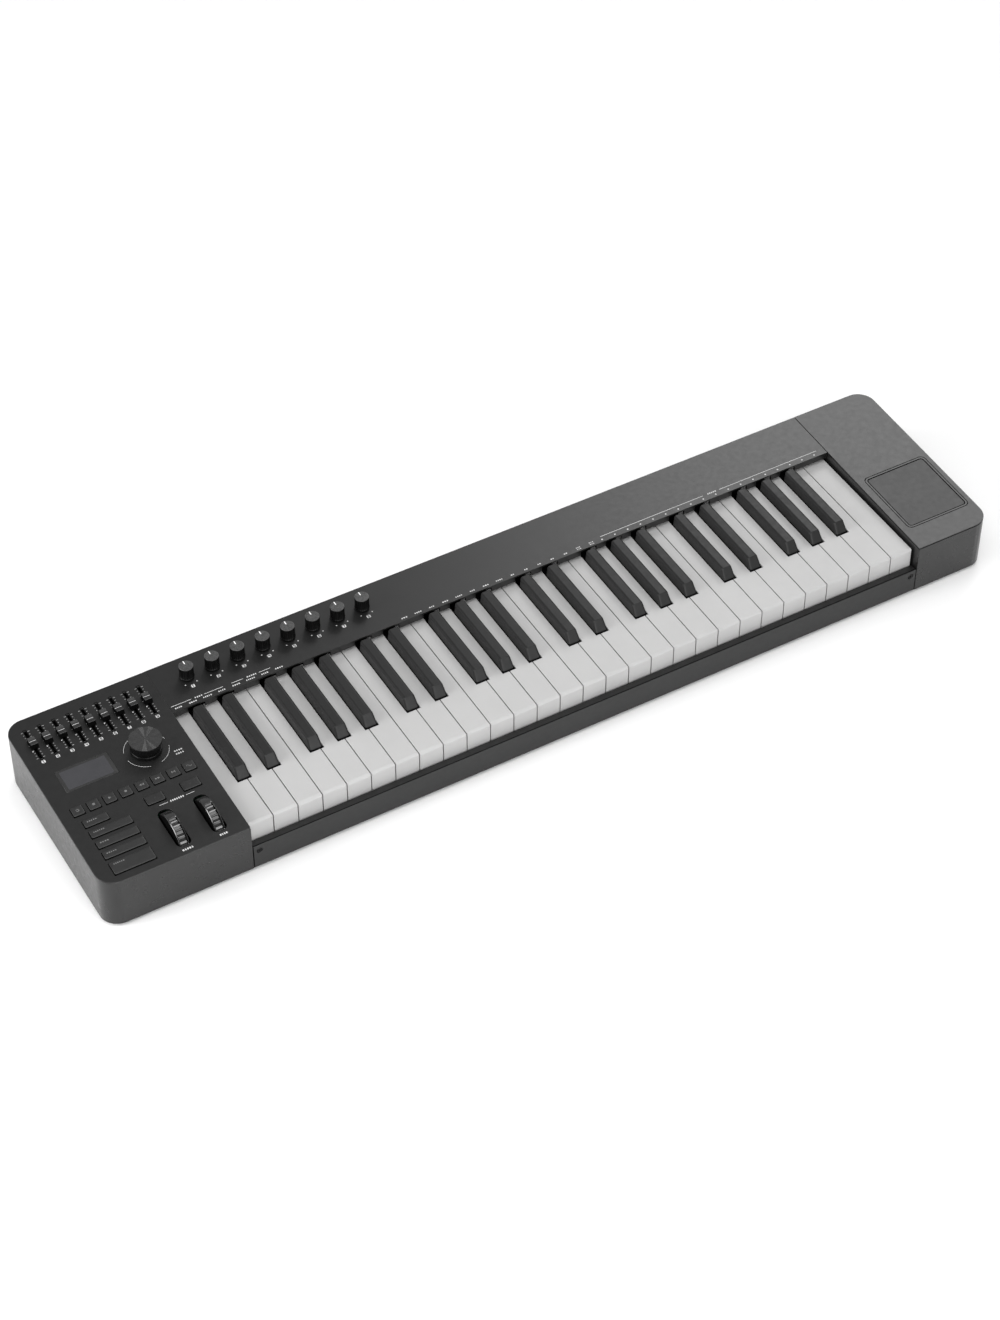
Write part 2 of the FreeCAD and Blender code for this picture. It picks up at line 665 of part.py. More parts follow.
def white_key(name, cell, notch_left, notch_right):
    """A hollow white key, its head full width and its neck cut back beside the black keys."""
    left = f"({KEYS_LEFT} + {cell} * white_pitch + white_gap / 2)"
    right = f"({KEYS_LEFT} + {cell + 1} * white_pitch - white_gap / 2)"
    octave_start = f"{KEYS_LEFT} + {cell // 7 * 7} * white_pitch"
    neck_left, neck_right = left, right
    if notch_left:
        neck_left = f"({octave_start} + {black_centre(cell % 7)} + black_slot / 2)"
    if notch_right:
        neck_right = f"({octave_start} + {black_centre(cell % 7 + 1)} - black_slot / 2)"
    z = (f"({KEY_TOP} - white_depth)", KEY_TOP)
    head_rear = f"({KEYS_FRONT} + white_head)"
    tail_front = f"({KEYS_FRONT} + key_length - tail_length)"
    head = box(name + "_head", (left, right), (KEYS_FRONT, head_rear), z)
    skirt = box(name + "_skirt", (left, right), (KEYS_FRONT, f"({KEYS_FRONT} + 2.2)"),
                (f"({KEY_TOP} - white_skirt)", KEY_TOP))
    neck = box(name + "_neck", (neck_left, neck_right), (f"({head_rear} - 1)", f"({tail_front} + 1)"), z)
    centre = f"({neck_left} + {neck_right}) / 2"
    tail = key_tail(name + "_tail", around(f"({centre})", "tail_width"), z)
    hollow_z = (f"({KEY_TOP} - white_depth - 1)", f"({KEY_TOP} - key_skin)")
    bore_start = (f"({left} - 20)", PIVOT_Y, PIVOT_Z)
    hollows = [box(name + "_head_hollow", (f"({left} + key_side)", f"({right} - key_side)"),
                   (f"({KEYS_FRONT} + 2.2)", f"({head_rear} - key_side)"), hollow_z),
               box(name + "_neck_hollow", (f"({neck_left} + key_side)", f"({neck_right} - key_side)"),
                   (f"({head_rear} - key_side - 0.5)", f"({tail_front} - 1)"), hollow_z),
               rod(name + "_bore", bore_start, "pivot_radius + pivot_fit", "70", "X")]
    return cut(name, fuse(name + "_solid", [head, skirt, neck, tail]), hollows)


def black_key(name, octave, boundary):
    """A raised black key with sloping sides and a sloping front, and a hollow neck under the deck."""
    centre = f"({KEYS_LEFT} + {octave * 7} * white_pitch + {black_centre(boundary)})"
    wide, narrow = around(centre, "black_width"), around(centre, "black_top_width")
    low = f"({KEY_TOP} - white_depth)"
    seat = f"({KEY_TOP} - black_neck_drop)"
    front, back = f"({KEYS_FRONT} + black_front)", f"({KEYS_FRONT} + black_back)"
    tail_front = f"({KEYS_FRONT} + key_length - tail_length)"
    base = box(name + "_base", wide, (front, f"({tail_front} + 1)"), (low, seat))
    rise = taper(name + "_rise", wide, (front, back), (f"({seat} - 0.01)", f"({KEY_TOP} + black_rise)"),
                 narrow, (f"({front} + black_facet)", back))
    tail = key_tail(name + "_tail", around(centre, "tail_width"), (low, seat))
    hollow = box(name + "_hollow", around(centre, "(black_width - 2 * key_side)"),
                 (f"({front} + key_side)", f"({tail_front} - 1)"), (f"({low} - 1)", f"({seat} - key_skin)"))
    bore = rod(name + "_bore", (f"({wide[0]} - 5)", PIVOT_Y, PIVOT_Z), "pivot_radius + pivot_fit", "30", "X")
    return cut(name, fuse(name + "_solid", [base, rise, tail]), [hollow, bore])


def make_keys():
    """One group of keys for each note name."""
    for index, letter in enumerate(WHITE_LETTERS):
        keys = []
        for octave in range(OCTAVES):
            keys.append(white_key(f"white_{letter}_{octave}", octave * 7 + index, index in NOTCHED_LEFT,
                                  index in NOTCHED_RIGHT))
        if letter == "c":
            keys.append(white_key("white_top_c", OCTAVES * 7, False, False))
        keep(group(f"key_group_{letter}", keys), f"keys_{letter}")
    for letter, boundary in BLACK_LETTERS.items():
        keys = [black_key(f"black_{letter}_{octave}", octave, boundary) for octave in range(OCTAVES)]
        keep(group(f"key_group_{letter}", keys), f"keys_{letter}")


def tail_centres():
    """Centre of every key's tail, in order along the bed, from the first key's edge."""
    places = []
    for cell in range(SIZE["white_count"]):
        start, index = cell // 7 * 7, cell % 7
        left = f"({cell} * white_pitch + white_gap / 2)"
        right = f"({cell + 1} * white_pitch - white_gap / 2)"
        sharp = index in NOTCHED_RIGHT and cell < SIZE["white_count"] - 1
        if index in NOTCHED_LEFT:
            left = f"({start} * white_pitch + {black_centre(index)} + black_slot / 2)"
        if sharp:
            right = f"({start} * white_pitch + {black_centre(index + 1)} - black_slot / 2)"
        places.append(f"(({left} + {right}) / 2)")
        if sharp:
            places.append(f"({start} * white_pitch + {black_centre(index + 1)})")
    return places


def make_keybed():
    """The key frame: a tray, a comb of uprights that carries the pivot rod, and a guide under each key."""
    x = (f"({BED_LEFT} + 2)", f"({BED_RIGHT} - 2)")
    tray_z = (f"({FLOOR} + tray_lift)", f"({FLOOR} + tray_lift + tray_sheet)")
    items = [box("tray", x, (f"({KEYS_FRONT} + tray_start)", f"({KEYS_FRONT} + tray_end)"), tray_z),
             rod("pivot_rod", (x[0], PIVOT_Y, PIVOT_Z), "pivot_radius", f"{x[1]} - {x[0]}", "X")]
    places = tail_centres()
    comb_y, comb_z = around(PIVOT_Y, "comb_length"), (f"({FLOOR} + 1)", f"({PIVOT_Z} + comb_rise)")
    gaps = [f"(({a} + {b}) / 2)" for a, b in zip(places, places[1:])]
    ends = [f"({x[0]} - {KEYS_LEFT} + comb_width / 2)", f"({x[1]} - {KEYS_LEFT} - comb_width / 2)"]
    for i, place in enumerate(gaps + ends):
        items.append(box(f"comb_{i}", around(f"{KEYS_LEFT} + {place}", "comb_width"), comb_y, comb_z))
    guide_y = around(f"({KEYS_FRONT} + guide_place)", "guide_length")
    guide_z = (f"({FLOOR} + 1)", f"({KEY_TOP} - guide_drop)")
    for i, place in enumerate(places):
        items.append(box(f"guide_{i}", around(f"{KEYS_LEFT} + {place}", "guide_width"), guide_y, guide_z))
    keep(fuse("keybed", items), "keybed_frame")


# ---------------------------------------------------------------- panel controls
def make_faders():
    """Fader caps: a tapered grip on a blade that runs in the panel's slot."""
    y = inward("fader_centre")
    low = f"({deck(y)} + cap_lift)"
    for i in range(SIZE["fader_count"]):
        x = fader_x(i)
        grip = taper(f"cap_grip_{i}", around(x, "cap_width"), around(y, "cap_length"),
                     (low, f"({low} + cap_height)"), around(x, "(cap_width - cap_taper)"),
                     around(y, "(cap_length - 2 * cap_taper)"))
        blade = box(f"cap_blade_{i}", around(x, "stem_width"), around(y, "stem_length"),
                    (f"({deck(y)} - stem_drop)", f"({low} + 1)"))
        keep(fuse(f"cap_{i}", [grip, blade]), f"fader_cap_{i + 1}")


def knob_outline(foot, radius, top):
    """Half section of a knob with its shaft, from the shaft's foot upward."""
    return [("0", "0"), ("shaft_radius", "0"), ("shaft_radius", "(shaft_depth + knob_lift)"),
            (foot, "(shaft_depth + knob_lift)"), (radius, f"(shaft_depth + {top} - 1)"),
            (f"({radius} - 0.8)", f"(shaft_depth + {top})"), ("0", f"(shaft_depth + {top})")]


def make_knobs():
    y = inward("knob_centre")
    for i in range(SIZE["knob_count"]):
        place = (knob_x(i), y, f"({deck(y)} - deck_inset - shaft_depth)")
        outline = knob_outline("knob_radius", "knob_radius", "knob_top")
        keep(turned(f"knob_{i}", outline, place), f"knob_{i + 1}")
    y = inward("encoder_centre")
    place = (across("encoder_across"), y, f"({deck(y)} - shaft_depth)")
    outline = knob_outline("encoder_foot", "encoder_radius", "encoder_top")
    keep(turned("encoder", outline, place), "encoder_knob")


def wheel_axis_height():
    return f"({deck(inward('wheel_centre'))} - wheel_drop)"


def make_wheels():
    outline = [("(axle_radius + shaft_fit)", "0"), ("(wheel_radius - 1.2)", "0"), ("wheel_radius", "1.2"),
               ("wheel_radius", "(wheel_width - 1.2)"), ("(wheel_radius - 1.2)", "wheel_width"),
               ("(axle_radius + shaft_fit)", "wheel_width")]
    for name, x in (("pitch_wheel", "pitch_across"), ("mod_wheel", "mod_across")):
        place = (f"{across(x)} - wheel_width / 2", inward("wheel_centre"), wheel_axis_height())
        keep(turned(name + "_turned", outline, place, "X"), name)
    cheeks = []
    y = inward("wheel_centre")
    for i, x in enumerate(("pitch_across", "mod_across")):
        for side, sign in (("a", "-"), ("b", "+")):
            centre = f"({across(x)} {sign} (wheel_width / 2 + cheek_sheet))"
            cheeks.append(box(f"cheek_{i}{side}", around(centre, "cheek_sheet"), around(y, "cheek_depth"),
                              (f"({FLOOR} + 1)", f"({wheel_axis_height()} + 4)")))
        cheeks.append(rod(f"axle_{i}", (f"{across(x)} - wheel_width / 2 - 2", y, wheel_axis_height()),
                          "axle_radius", "wheel_width + 4", "X"))
    cheeks.append(box("bracket_foot", (across("pitch_across - 9"), across("mod_across + 9")),
                      around(y, "bracket_depth"), (FLOOR, f"({FLOOR} + bracket_sheet)")))
    keep(fuse("wheel_stand", cheeks), "wheel_bracket")


def make_buttons():
    """Button caps, each with a flange that holds it under the panel and a stem over its switch."""
    for name, x, y in button_places():
        centre_y = f"(({y[0]} + {y[1]}) / 2)"
        centre_x = f"(({x[0]} + {x[1]}) / 2)"
        under = f"({deck(centre_y)} - panel_thickness - button_play)"
        cap = slab(name + "_cap", x, y, (f"({under} - 1)", f"({deck(y[0])} + button_rise)"),
                   (f"({under} - 1)", f"({deck(y[1])} + button_rise)"))
        flange = box(name + "_flange", (f"({x[0]} - button_flange)", f"({x[1]} + button_flange)"),
                     (f"({y[0]} - button_flange)", f"({y[1]} + button_flange)"), (f"({under} - 1)", under))
        stem_z = (f"({deck(centre_y)} - board_drop + switch_height + 1.3)", f"({under} - 0.5)")
        stem = box(name + "_stem", around(centre_x, "stem_size"), around(centre_y, "stem_size"), stem_z)
        keep(fuse(name + "_solid", [cap, flange, stem]), name)


# ---------------------------------------------------------------- electronics
def below_deck(y, low, high):
    """Bottom and top at the front and at the rear of a block that follows the deck."""
    return [(f"({deck(place)} - ({low}))", f"({deck(place)} - ({high}))") for place in y]


def board(name, x, y):
    """A circuit board under the left panel."""
    return slab(name, x, y, *below_deck(y, "board_drop + board_thickness", "board_drop"))


def make_boards():
    """Circuit boards with the switches, slide and turn controls that are soldered to them."""
    left, right, middle = across("11.5"), across("123.5"), inward("57.5")
    items = [board("panel_board", (left, right), (middle, inward("200"))),
             board("function_board", (left, across("64")), (inward("9"), middle))]
    for name, x, y in button_places():
        centre_x, centre_y = f"(({x[0]} + {x[1]}) / 2)", f"(({y[0]} + {y[1]}) / 2)"
        top = f"({deck(centre_y)} - board_drop)"
        items.append(box(name + "_switch", around(centre_x, "switch_size"), around(centre_y, "switch_size"),
                         (f"({top} + 0.1)", f"({top} + switch_height)")))
    y = around(inward("fader_centre"), "slide_length")
    for i in range(SIZE["fader_count"]):
        items.append(slab(f"fader_unit_{i}", around(fader_x(i), "slide_width"), y,
                          *below_deck(y, "board_drop", "slide_drop")))
    y = inward("encoder_centre")
    low, high = f"({deck(y)} - board_drop + unit_gap)", f"({deck(y)} - panel_thickness - unit_gap)"
    items.append(turn_unit("encoder_turner", across("encoder_across"), y, low, high, "encoder_unit"))
    y = inward("knob_centre")
    knob_board_top = f"({KEY_TOP} + 2.2)"
    items.append(box("knob_board_plate", (across("150"), across("356")), around(y, "knob_board"),
                     (f"({KEY_TOP} + 1)", knob_board_top)))
    for i in range(SIZE["knob_count"]):
        items.append(turn_unit(f"knob_turner_{i}", knob_x(i), y, f"({knob_board_top} + 0.1)",
                               f"({deck(y)} - deck_inset - deck_sheet - unit_gap)", "knob_unit"))
    items.append(box("contact_board", (f"({BED_LEFT} + 6)", f"({BED_RIGHT} - 6)"),
                     around(f"({KEYS_FRONT} + contact_place)", "contact_depth"), lying_board("contact_lift")))
    items.append(box("main_board", (left, across("60")), (inward("70"), inward("190")),
                     lying_board("main_lift")))
    x = (across("window_left + 2"), across("window_left + window_width - 2"))
    y = (inward("window_front + 2"), inward("window_front + window_length - 2"))
    items.append(slab("display_module", x, y, *below_deck(y, "6", "window_glass + 1.1")))
    x, y = pad_planes("5")
    items.append(slab("pad_board", x, y, *below_deck(y, "pad_glass + 2.8", "pad_glass + 1.2")))
    keep(group("board_set", items), "circuit_boards")


def lying_board(lift):
    """The two planes of a level circuit board above the case floor."""
    return f"({FLOOR} + {lift})", f"({FLOOR} + {lift} + board_thickness)"


def turn_unit(name, x, y, low, high, width):
    """A turn control's housing with a bearing hole for the shaft."""
    housing = box(name + "_housing", around(x, width), around(y, width), (low, high))
    bore = rod(name + "_bearing", (x, y, f"{low} + 1"), "shaft_radius + shaft_fit", "20")
    return cut(name, housing, [bore])


def make_sockets():
    """Rear sockets: data, note data, power and two pedal jacks."""
    inner, outer = f"({BACK} - wall - socket_room)", f"({BACK} - socket_inset)"
    x = across(SOCKETS_X["usb"])
    shell = box("usb_shell", around(x, "(usb_width + 2 * shell_wall)"), (f"({BACK} - wall - 12)", outer),
                around(SOCKET_Z, "(usb_height + 2 * shell_wall)"))
    mouth = box("usb_mouth", around(x, "usb_width"), (f"({BACK} - usb_depth)", f"({BACK} + 1)"),
                around(SOCKET_Z, "usb_height"))
    items = [cut("usb_socket", shell, [mouth])]
    bores = {"midi": ("(din_radius - 1.2)", "din_depth"), "dc": ("power_bore", "power_depth"),
             "sustain": ("jack_radius", "jack_depth"), "expression": ("jack_radius", "jack_depth")}
    for name, radius in ROUND_SOCKETS:
        x = across(SOCKETS_X[name])
        bore, depth = bores[name]
        barrel = rod(name + "_barrel", (x, inner, SOCKET_Z), radius, f"{outer} - {inner}", "Y")
        mouth = rod(name + "_mouth", (x, f"({outer} - {depth})", SOCKET_Z), bore, "30", "Y")
        items.append(cut(name + "_socket", barrel, [mouth]))
    keep(group("socket_set", items), "rear_sockets")


make_case()
make_rail()
make_left_panel()
make_right_panel()
make_touch_pad()
make_window()
make_rear_deck()
make_keys()
make_keybed()
make_faders()
make_knobs()
make_wheels()
make_buttons()
make_boards()
make_sockets()
make_screws()
make_feet()
doc.removeObject("probe")
doc.recompute()

failed = [item.Name for item in doc.Objects if {"Invalid", "Error"} & set(item.State)]
bad = [item.Label for item in parts if item.Shape.isNull() or not item.Shape.isValid()]
if failed or bad:
    raise RuntimeError(f"failed objects {failed}, bad shapes {bad}")

os.makedirs("parts", exist_ok=True)
for item in parts:
    item.Shape.exportStep(f"parts/{item.Label}.step")
    print(item.Label, len(item.Shape.Solids), "solids", round(item.Shape.Volume), "mm3")
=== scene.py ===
"""Looks of a 49-key controller keyboard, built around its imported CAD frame.

The frame's X runs along the keys, Y from the player to the rear and Z up. Lengths are in metres.
"""
import math

import bmesh
import bpy
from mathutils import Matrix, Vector


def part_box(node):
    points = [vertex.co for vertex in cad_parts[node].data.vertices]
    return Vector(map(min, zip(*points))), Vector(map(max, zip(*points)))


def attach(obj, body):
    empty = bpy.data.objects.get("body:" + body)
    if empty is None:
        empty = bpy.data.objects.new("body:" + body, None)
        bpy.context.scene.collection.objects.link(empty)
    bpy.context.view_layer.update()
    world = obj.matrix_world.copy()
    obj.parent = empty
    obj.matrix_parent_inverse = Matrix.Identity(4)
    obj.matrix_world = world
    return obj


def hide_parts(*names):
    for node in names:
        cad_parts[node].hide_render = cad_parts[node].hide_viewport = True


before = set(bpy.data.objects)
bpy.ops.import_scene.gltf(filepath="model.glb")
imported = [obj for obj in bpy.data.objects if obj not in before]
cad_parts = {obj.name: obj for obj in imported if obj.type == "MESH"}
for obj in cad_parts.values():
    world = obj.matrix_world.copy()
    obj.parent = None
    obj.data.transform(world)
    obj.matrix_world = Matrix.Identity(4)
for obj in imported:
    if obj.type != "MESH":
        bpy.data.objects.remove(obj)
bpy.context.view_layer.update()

MM = 0.001
SHARP = math.radians(32)
TAU = 2 * math.pi


# ---------------------------------------------------------------- materials
def noise(tree, place, size, detail=3.0):
    """A noise texture whose features are about size metres."""
    texture = tree.nodes.new("ShaderNodeTexNoise")
    texture.inputs["Scale"].default_value = 1 / size
    texture.inputs["Detail"].default_value = detail
    tree.links.new(place, texture.inputs["Vector"])
    return texture.outputs["Fac"]


def remapped(tree, value, low, high, clip=0.25):
    """A noise value spread from low to high."""
    spread = tree.nodes.new("ShaderNodeMapRange")
    spread.inputs["From Min"].default_value = clip
    spread.inputs["From Max"].default_value = 1 - clip
    spread.inputs["To Min"].default_value = low
    spread.inputs["To Max"].default_value = high
    tree.links.new(value, spread.inputs["Value"])
    return spread.outputs["Result"]


def two_tones(tree, value, dark, light):
    """A colour between two tones, driven by a value."""
    ramp = tree.nodes.new("ShaderNodeValToRGB")
    ramp.color_ramp.elements[0].position = 0.3
    ramp.color_ramp.elements[0].color = (*dark, 1)
    ramp.color_ramp.elements[1].position = 0.7
    ramp.color_ramp.elements[1].color = (*light, 1)
    tree.links.new(value, ramp.inputs["Fac"])
    return ramp.outputs["Color"]


def surface(name, colour, rough, mottle=0.08, patch=30 * MM, grain=0.35 * MM, depth=0.006 * MM,
            rough_spread=0.05, **shader_values):
    """A moulded or painted surface: faint patches of tone, uneven gloss and a fine grain."""
    made = bpy.data.materials.new(name)
    made.use_nodes = True
    tree = made.node_tree
    shader = tree.nodes["Principled BSDF"]
    for socket, value in shader_values.items():
        shader.inputs[socket.replace("_", " ")].default_value = value
    place = tree.nodes.new("ShaderNodeTexCoord").outputs["Object"]
    dark = [channel * (1 - mottle) for channel in colour]
    light = [channel * (1 + mottle) for channel in colour]
    tree.links.new(two_tones(tree, noise(tree, place, patch), dark, light), shader.inputs["Base Color"])
    gloss = remapped(tree, noise(tree, place, patch / 6, 5.0), rough - rough_spread, rough + rough_spread)
    tree.links.new(gloss, shader.inputs["Roughness"])
    bump = tree.nodes.new("ShaderNodeBump")
    bump.inputs["Strength"].default_value = 1.0
    bump.inputs["Distance"].default_value = depth
    tree.links.new(noise(tree, place, grain), bump.inputs["Height"])
    tree.links.new(bump.outputs["Normal"], shader.inputs["Normal"])
    return made


def grey(value, warm=0.0):
    return (value * (1 + warm), value, value * (1 - warm))


CASE = surface("case_plastic", grey(0.013), 0.30, depth=0.003 * MM, Specular_IOR_Level=0.42)
PANEL = surface("panel_paint", grey(0.009), 0.34, rough_spread=0.03)
RAIL = surface("rail_paint", grey(0.0098), 0.42, Specular_IOR_Level=0.40)
PAD = surface("pad_plastic", grey(0.022), 0.44, rough_spread=0.03, grain=0.25 * MM)
GLASS = surface("window_glass", grey(0.020), 0.30, depth=0.001 * MM, patch=60 * MM, Coat_Weight=0.3,
                Coat_Roughness=0.2)
SCREEN = surface("window_screen", (0.036, 0.036, 0.040), 0.36, patch=14 * MM, depth=0.001 * MM)
WHITE_KEY = surface("white_key_plastic", grey(0.415, 0.004), 0.46, mottle=0.02, grain=0.5 * MM)
BLACK_KEY = surface("black_key_plastic", grey(0.012), 0.42, grain=0.3 * MM, depth=0.012 * MM,
                    Specular_IOR_Level=0.28)
BUTTON = surface("button_rubber", grey(0.011), 0.44, depth=0.01 * MM)
OCTAVE_BUTTON = surface("octave_rubber", grey(0.0072), 0.44, depth=0.01 * MM)
CAP = surface("fader_cap_plastic", grey(0.015), 0.40)
KNOB = surface("knob_plastic", grey(0.003), 0.34, depth=0.008 * MM, Specular_IOR_Level=0.16)
KNOB_TOP = surface("knob_top_plastic", grey(0.048), 0.38, mottle=0.5, patch=1.2 * MM, depth=0.03 * MM)
SPUN = surface("encoder_top_plastic", grey(0.030), 0.24, mottle=0.12, patch=3 * MM)
WHEEL = surface("wheel_rubber", grey(0.014), 0.20, patch=8 * MM, depth=0.003 * MM, Specular_IOR_Level=0.8,
                Coat_Weight=0.6, Coat_Roughness=0.12)
# Painted shade: a near-black that stands in for the shade in seams, grooves, slots and gaps, and on the
# shaded sides and feet of raised parts.
PAINTED_SHADE = surface("painted_shade", grey(0.002), 0.8, patch=5 * MM, Specular_IOR_Level=0.04)
WHITE_PRINT = surface("white_print", grey(0.52), 0.5, mottle=0.12, patch=0.8 * MM)
BRIGHT_PRINT = surface("pointer_print", grey(0.85), 0.5, mottle=0.06, patch=0.8 * MM)
GREY_PRINT = surface("grey_print", grey(0.13), 0.5, mottle=0.2, patch=0.8 * MM)
SCALE_PRINT = surface("scale_print", grey(0.26), 0.5, mottle=0.3, patch=0.8 * MM)
DARK_PRINT = surface("dark_print", grey(0.02), 0.5)
STEEL = surface("frame_steel", (0.45, 0.46, 0.48), 0.36, patch=12 * MM, Metallic=1.0)
SCREW = surface("black_steel", grey(0.02), 0.36, patch=2 * MM, Metallic=0.9)
SOCKET = surface("socket_plastic", grey(0.016), 0.34)
BRASS = surface("contact_metal", (0.62, 0.55, 0.40), 0.3, patch=2 * MM, Metallic=1.0)
BOARD = surface("circuit_board", (0.012, 0.075, 0.035), 0.38, mottle=0.25, patch=5 * MM)
FOOT = surface("foot_rubber", grey(0.02), 0.7, grain=0.6 * MM, depth=0.03 * MM)
FLOOR = surface("pale_floor", grey(0.9), 0.9, mottle=0.005, patch=400 * MM, grain=2 * MM)


# ---------------------------------------------------------------- making pieces
def shade(bm):
    """Smooth shading, with a break along every edge that is still sharp."""
    bm.normal_update()
    for face in bm.faces:
        face.smooth = True
    for edge in bm.edges:
        edge.smooth = len(edge.link_faces) == 2 and edge.calc_face_angle(0) < SHARP


def piece(name, bm, material, body, slot=None, replaces=(), others=()):
    """A finished mesh as a named piece that rides on a body."""
    mesh = bpy.data.meshes.new(name)
    bm.to_mesh(mesh)
    bm.free()
    made = bpy.data.objects.new(name, mesh)
    bpy.context.scene.collection.objects.link(made)
    for each in (material, *others):
        mesh.materials.append(each)
    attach(made, body)
    if replaces:
        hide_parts(*replaces)
    return made


def paint(bm, index, test):
    """Gives every face that passes a test the piece's material of that number."""
    bm.normal_update()
    for face in bm.faces:
        if test(face):
            face.material_index = index


def welded(node):
    """A CAD node's own shape, with its flat faces whole again."""
    bm = bmesh.new()
    bm.from_mesh(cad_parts[node].data)
    bmesh.ops.remove_doubles(bm, verts=bm.verts, dist=2e-6)
    bmesh.ops.dissolve_limit(bm, angle_limit=math.radians(0.6), verts=bm.verts, edges=bm.edges)
    return bm


def cut(bm, place, normal):
    """Adds edges where a plane crosses a mesh, and leaves the shape as it is."""
    everything = bm.verts[:] + bm.edges[:] + bm.faces[:]
    bmesh.ops.bisect_plane(bm, geom=everything, plane_co=place, plane_no=normal)


def islands(bm):
    """The separate solids of a mesh, each as a new mesh, from left to right.

    Vertices and faces keep the order that they have in the mesh, so that every run makes the same pieces.
    """
    bm.verts.index_update()
    bm.faces.index_update()
    left, found = set(bm.verts), []
    for first in bm.verts:
        if first not in left:
            continue
        left.discard(first)
        queue, seen = [first], set()
        while queue:
            vert = queue.pop()
            seen.add(vert)
            near = {edge.other_vert(vert) for edge in vert.link_edges} - seen
            queue += near & left
            left -= near
        part, twins = bmesh.new(), {}
        for vert in sorted(seen, key=lambda vert: vert.index):
            twins[vert] = part.verts.new(vert.co)
        faces = {face for vert in seen for face in vert.link_faces}
        for face in sorted(faces, key=lambda face: face.index):
            part.faces.new([twins[vert] for vert in face.verts])
        found.append(part)
    return sorted(found, key=lambda part: min(vert.co.x for vert in part.verts))


def rounded(name, bm, rule, widest, material, body, segments=3, **more):
    """A piece whose sharp edges are rounded, each by the width that rule gives for its two ends."""
    weight = bm.edges.layers.float.new("bevel_weight_edge")
    shade(bm)
    for edge in bm.edges:
        if edge.smooth or len(edge.link_faces) != 2:
            continue
        width = rule(*[vert.co for vert in edge.verts])
        edge[weight] = width / widest
        edge.smooth = width > 0
    made = piece(name, bm, material, body, **more)
    bevel = made.modifiers.new("rounding", "BEVEL")
    bevel.limit_method = "WEIGHT"
    bevel.width = widest
    bevel.segments = segments
    bevel.use_clamp_overlap = False
    flatten(made)
    return made


def flatten(made):
    """Keeps wide faces flat in the shading, so that only narrow roundings turn the light."""
    normals = made.modifiers.new("flat_faces", "WEIGHTED_NORMAL")
    normals.weight = 100
    normals.thresh = 0.0
    normals.keep_sharp = True


def loft(bm, rings, closed=False):
    """A skin through rings of equal count. The ends are capped, or joined to each other when closed."""
    made = [[bm.verts.new(point) for point in ring] for ring in rings]
    pairs = list(zip(made, made[1:])) + ([(made[-1], made[0])] if closed else [])
    count = len(rings[0])
    for low, high in pairs:
        for i in range(count):
            j = (i + 1) % count
            bm.faces.new([low[i], low[j], high[j], high[i]])
    if not closed:
        bm.faces.new(list(reversed(made[0])))
        bm.faces.new(made[-1])
    return made


def soft_rectangle(x, y, radius, steps=4):
    """Points (x, y) round a rectangle with rounded corners, anticlockwise."""
    points = []
    corners = [(x[1], y[1], 0), (x[0], y[1], 1), (x[0], y[0], 2), (x[1], y[0], 3)]
    for corner_x, corner_y, quarter in corners:
        sign_x, sign_y = (1 if quarter in (0, 3) else -1), (1 if quarter in (0, 1) else -1)
        for step in range(steps + 1):
            angle = (quarter + step / steps) * math.pi / 2
            points.append((corner_x - sign_x * radius + radius * math.cos(angle),
                           corner_y - sign_y * radius + radius * math.sin(angle)))
    return points


def grown(pair, size):
    return pair[0] - size, pair[1] + size


def centred_rectangle(centre, half_x, half_y, radius):
    """A soft rectangle that reaches half_x and half_y to each side of a place."""
    return soft_rectangle(grown((centre.x, centre.x), half_x), grown((centre.y, centre.y), half_y), radius)


def circle(radius, count, ribs=0, rib_depth=0.0):
    """Points round a circle, with grooves cut into it where ribs are wanted."""
    points = []
    for i in range(count):
        angle = TAU * i / count
        dip = rib_depth * (0.5 - 0.5 * math.cos(ribs * angle)) if ribs else 0.0
        points.append(((radius - dip) * math.cos(angle), (radius - dip) * math.sin(angle)))
    return points


def middle(node):
    low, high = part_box(node)
    return (low + high) / 2


def levels(node):
    """The heights at which a CAD node has vertices, from the lowest."""
    found = []
    for height in sorted(vert.co.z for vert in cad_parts[node].data.vertices):
        if not found or height > found[-1] + 0.02 * MM:
            found.append(height)
    return found


# The deck is one sloping plane over both panels.
PANEL_LOW, PANEL_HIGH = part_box("left_top_panel")
panel_points = [vert.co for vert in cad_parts["left_top_panel"].data.vertices]
DECK_FRONT = max(point.z for point in panel_points if point.y < PANEL_LOW.y + 0.1 * MM)
DECK_SLOPE = (PANEL_HIGH.z - DECK_FRONT) / (PANEL_HIGH.y - PANEL_LOW.y)


def deck(y):
    return DECK_FRONT + DECK_SLOPE * (y - PANEL_LOW.y)


REAR_DECK_DROP = deck(PANEL_HIGH.y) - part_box("rear_deck")[1].z


# ---------------------------------------------------------------- case, panels and rail
BED_LEFT, BED_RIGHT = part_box("front_rail")[0].x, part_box("front_rail")[1].x
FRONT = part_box("lower_case")[0].y
CASE_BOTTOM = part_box("lower_case")[0].z


INNER_ROUNDING = 1.8 * MM
CORNER = 17 * MM
LEFT_END = BED_LEFT + 1 * MM
CASE_RIM_DROP = 2.3 * MM
COVER_RIM_DROP = 2.0 * MM


def upright(a, b):
    return abs(a.z - b.z) > 2 * MM and (a - b).xy.length < 0.5 * MM


def inner_corner(a, b):
    """The upright edge where a block's front meets the key bed."""
    near = min(abs(a.x - BED_LEFT), abs(a.x - BED_RIGHT)) < 0.6 * MM
    return upright(a, b) and near and abs(a.y - FRONT) < 0.3 * MM


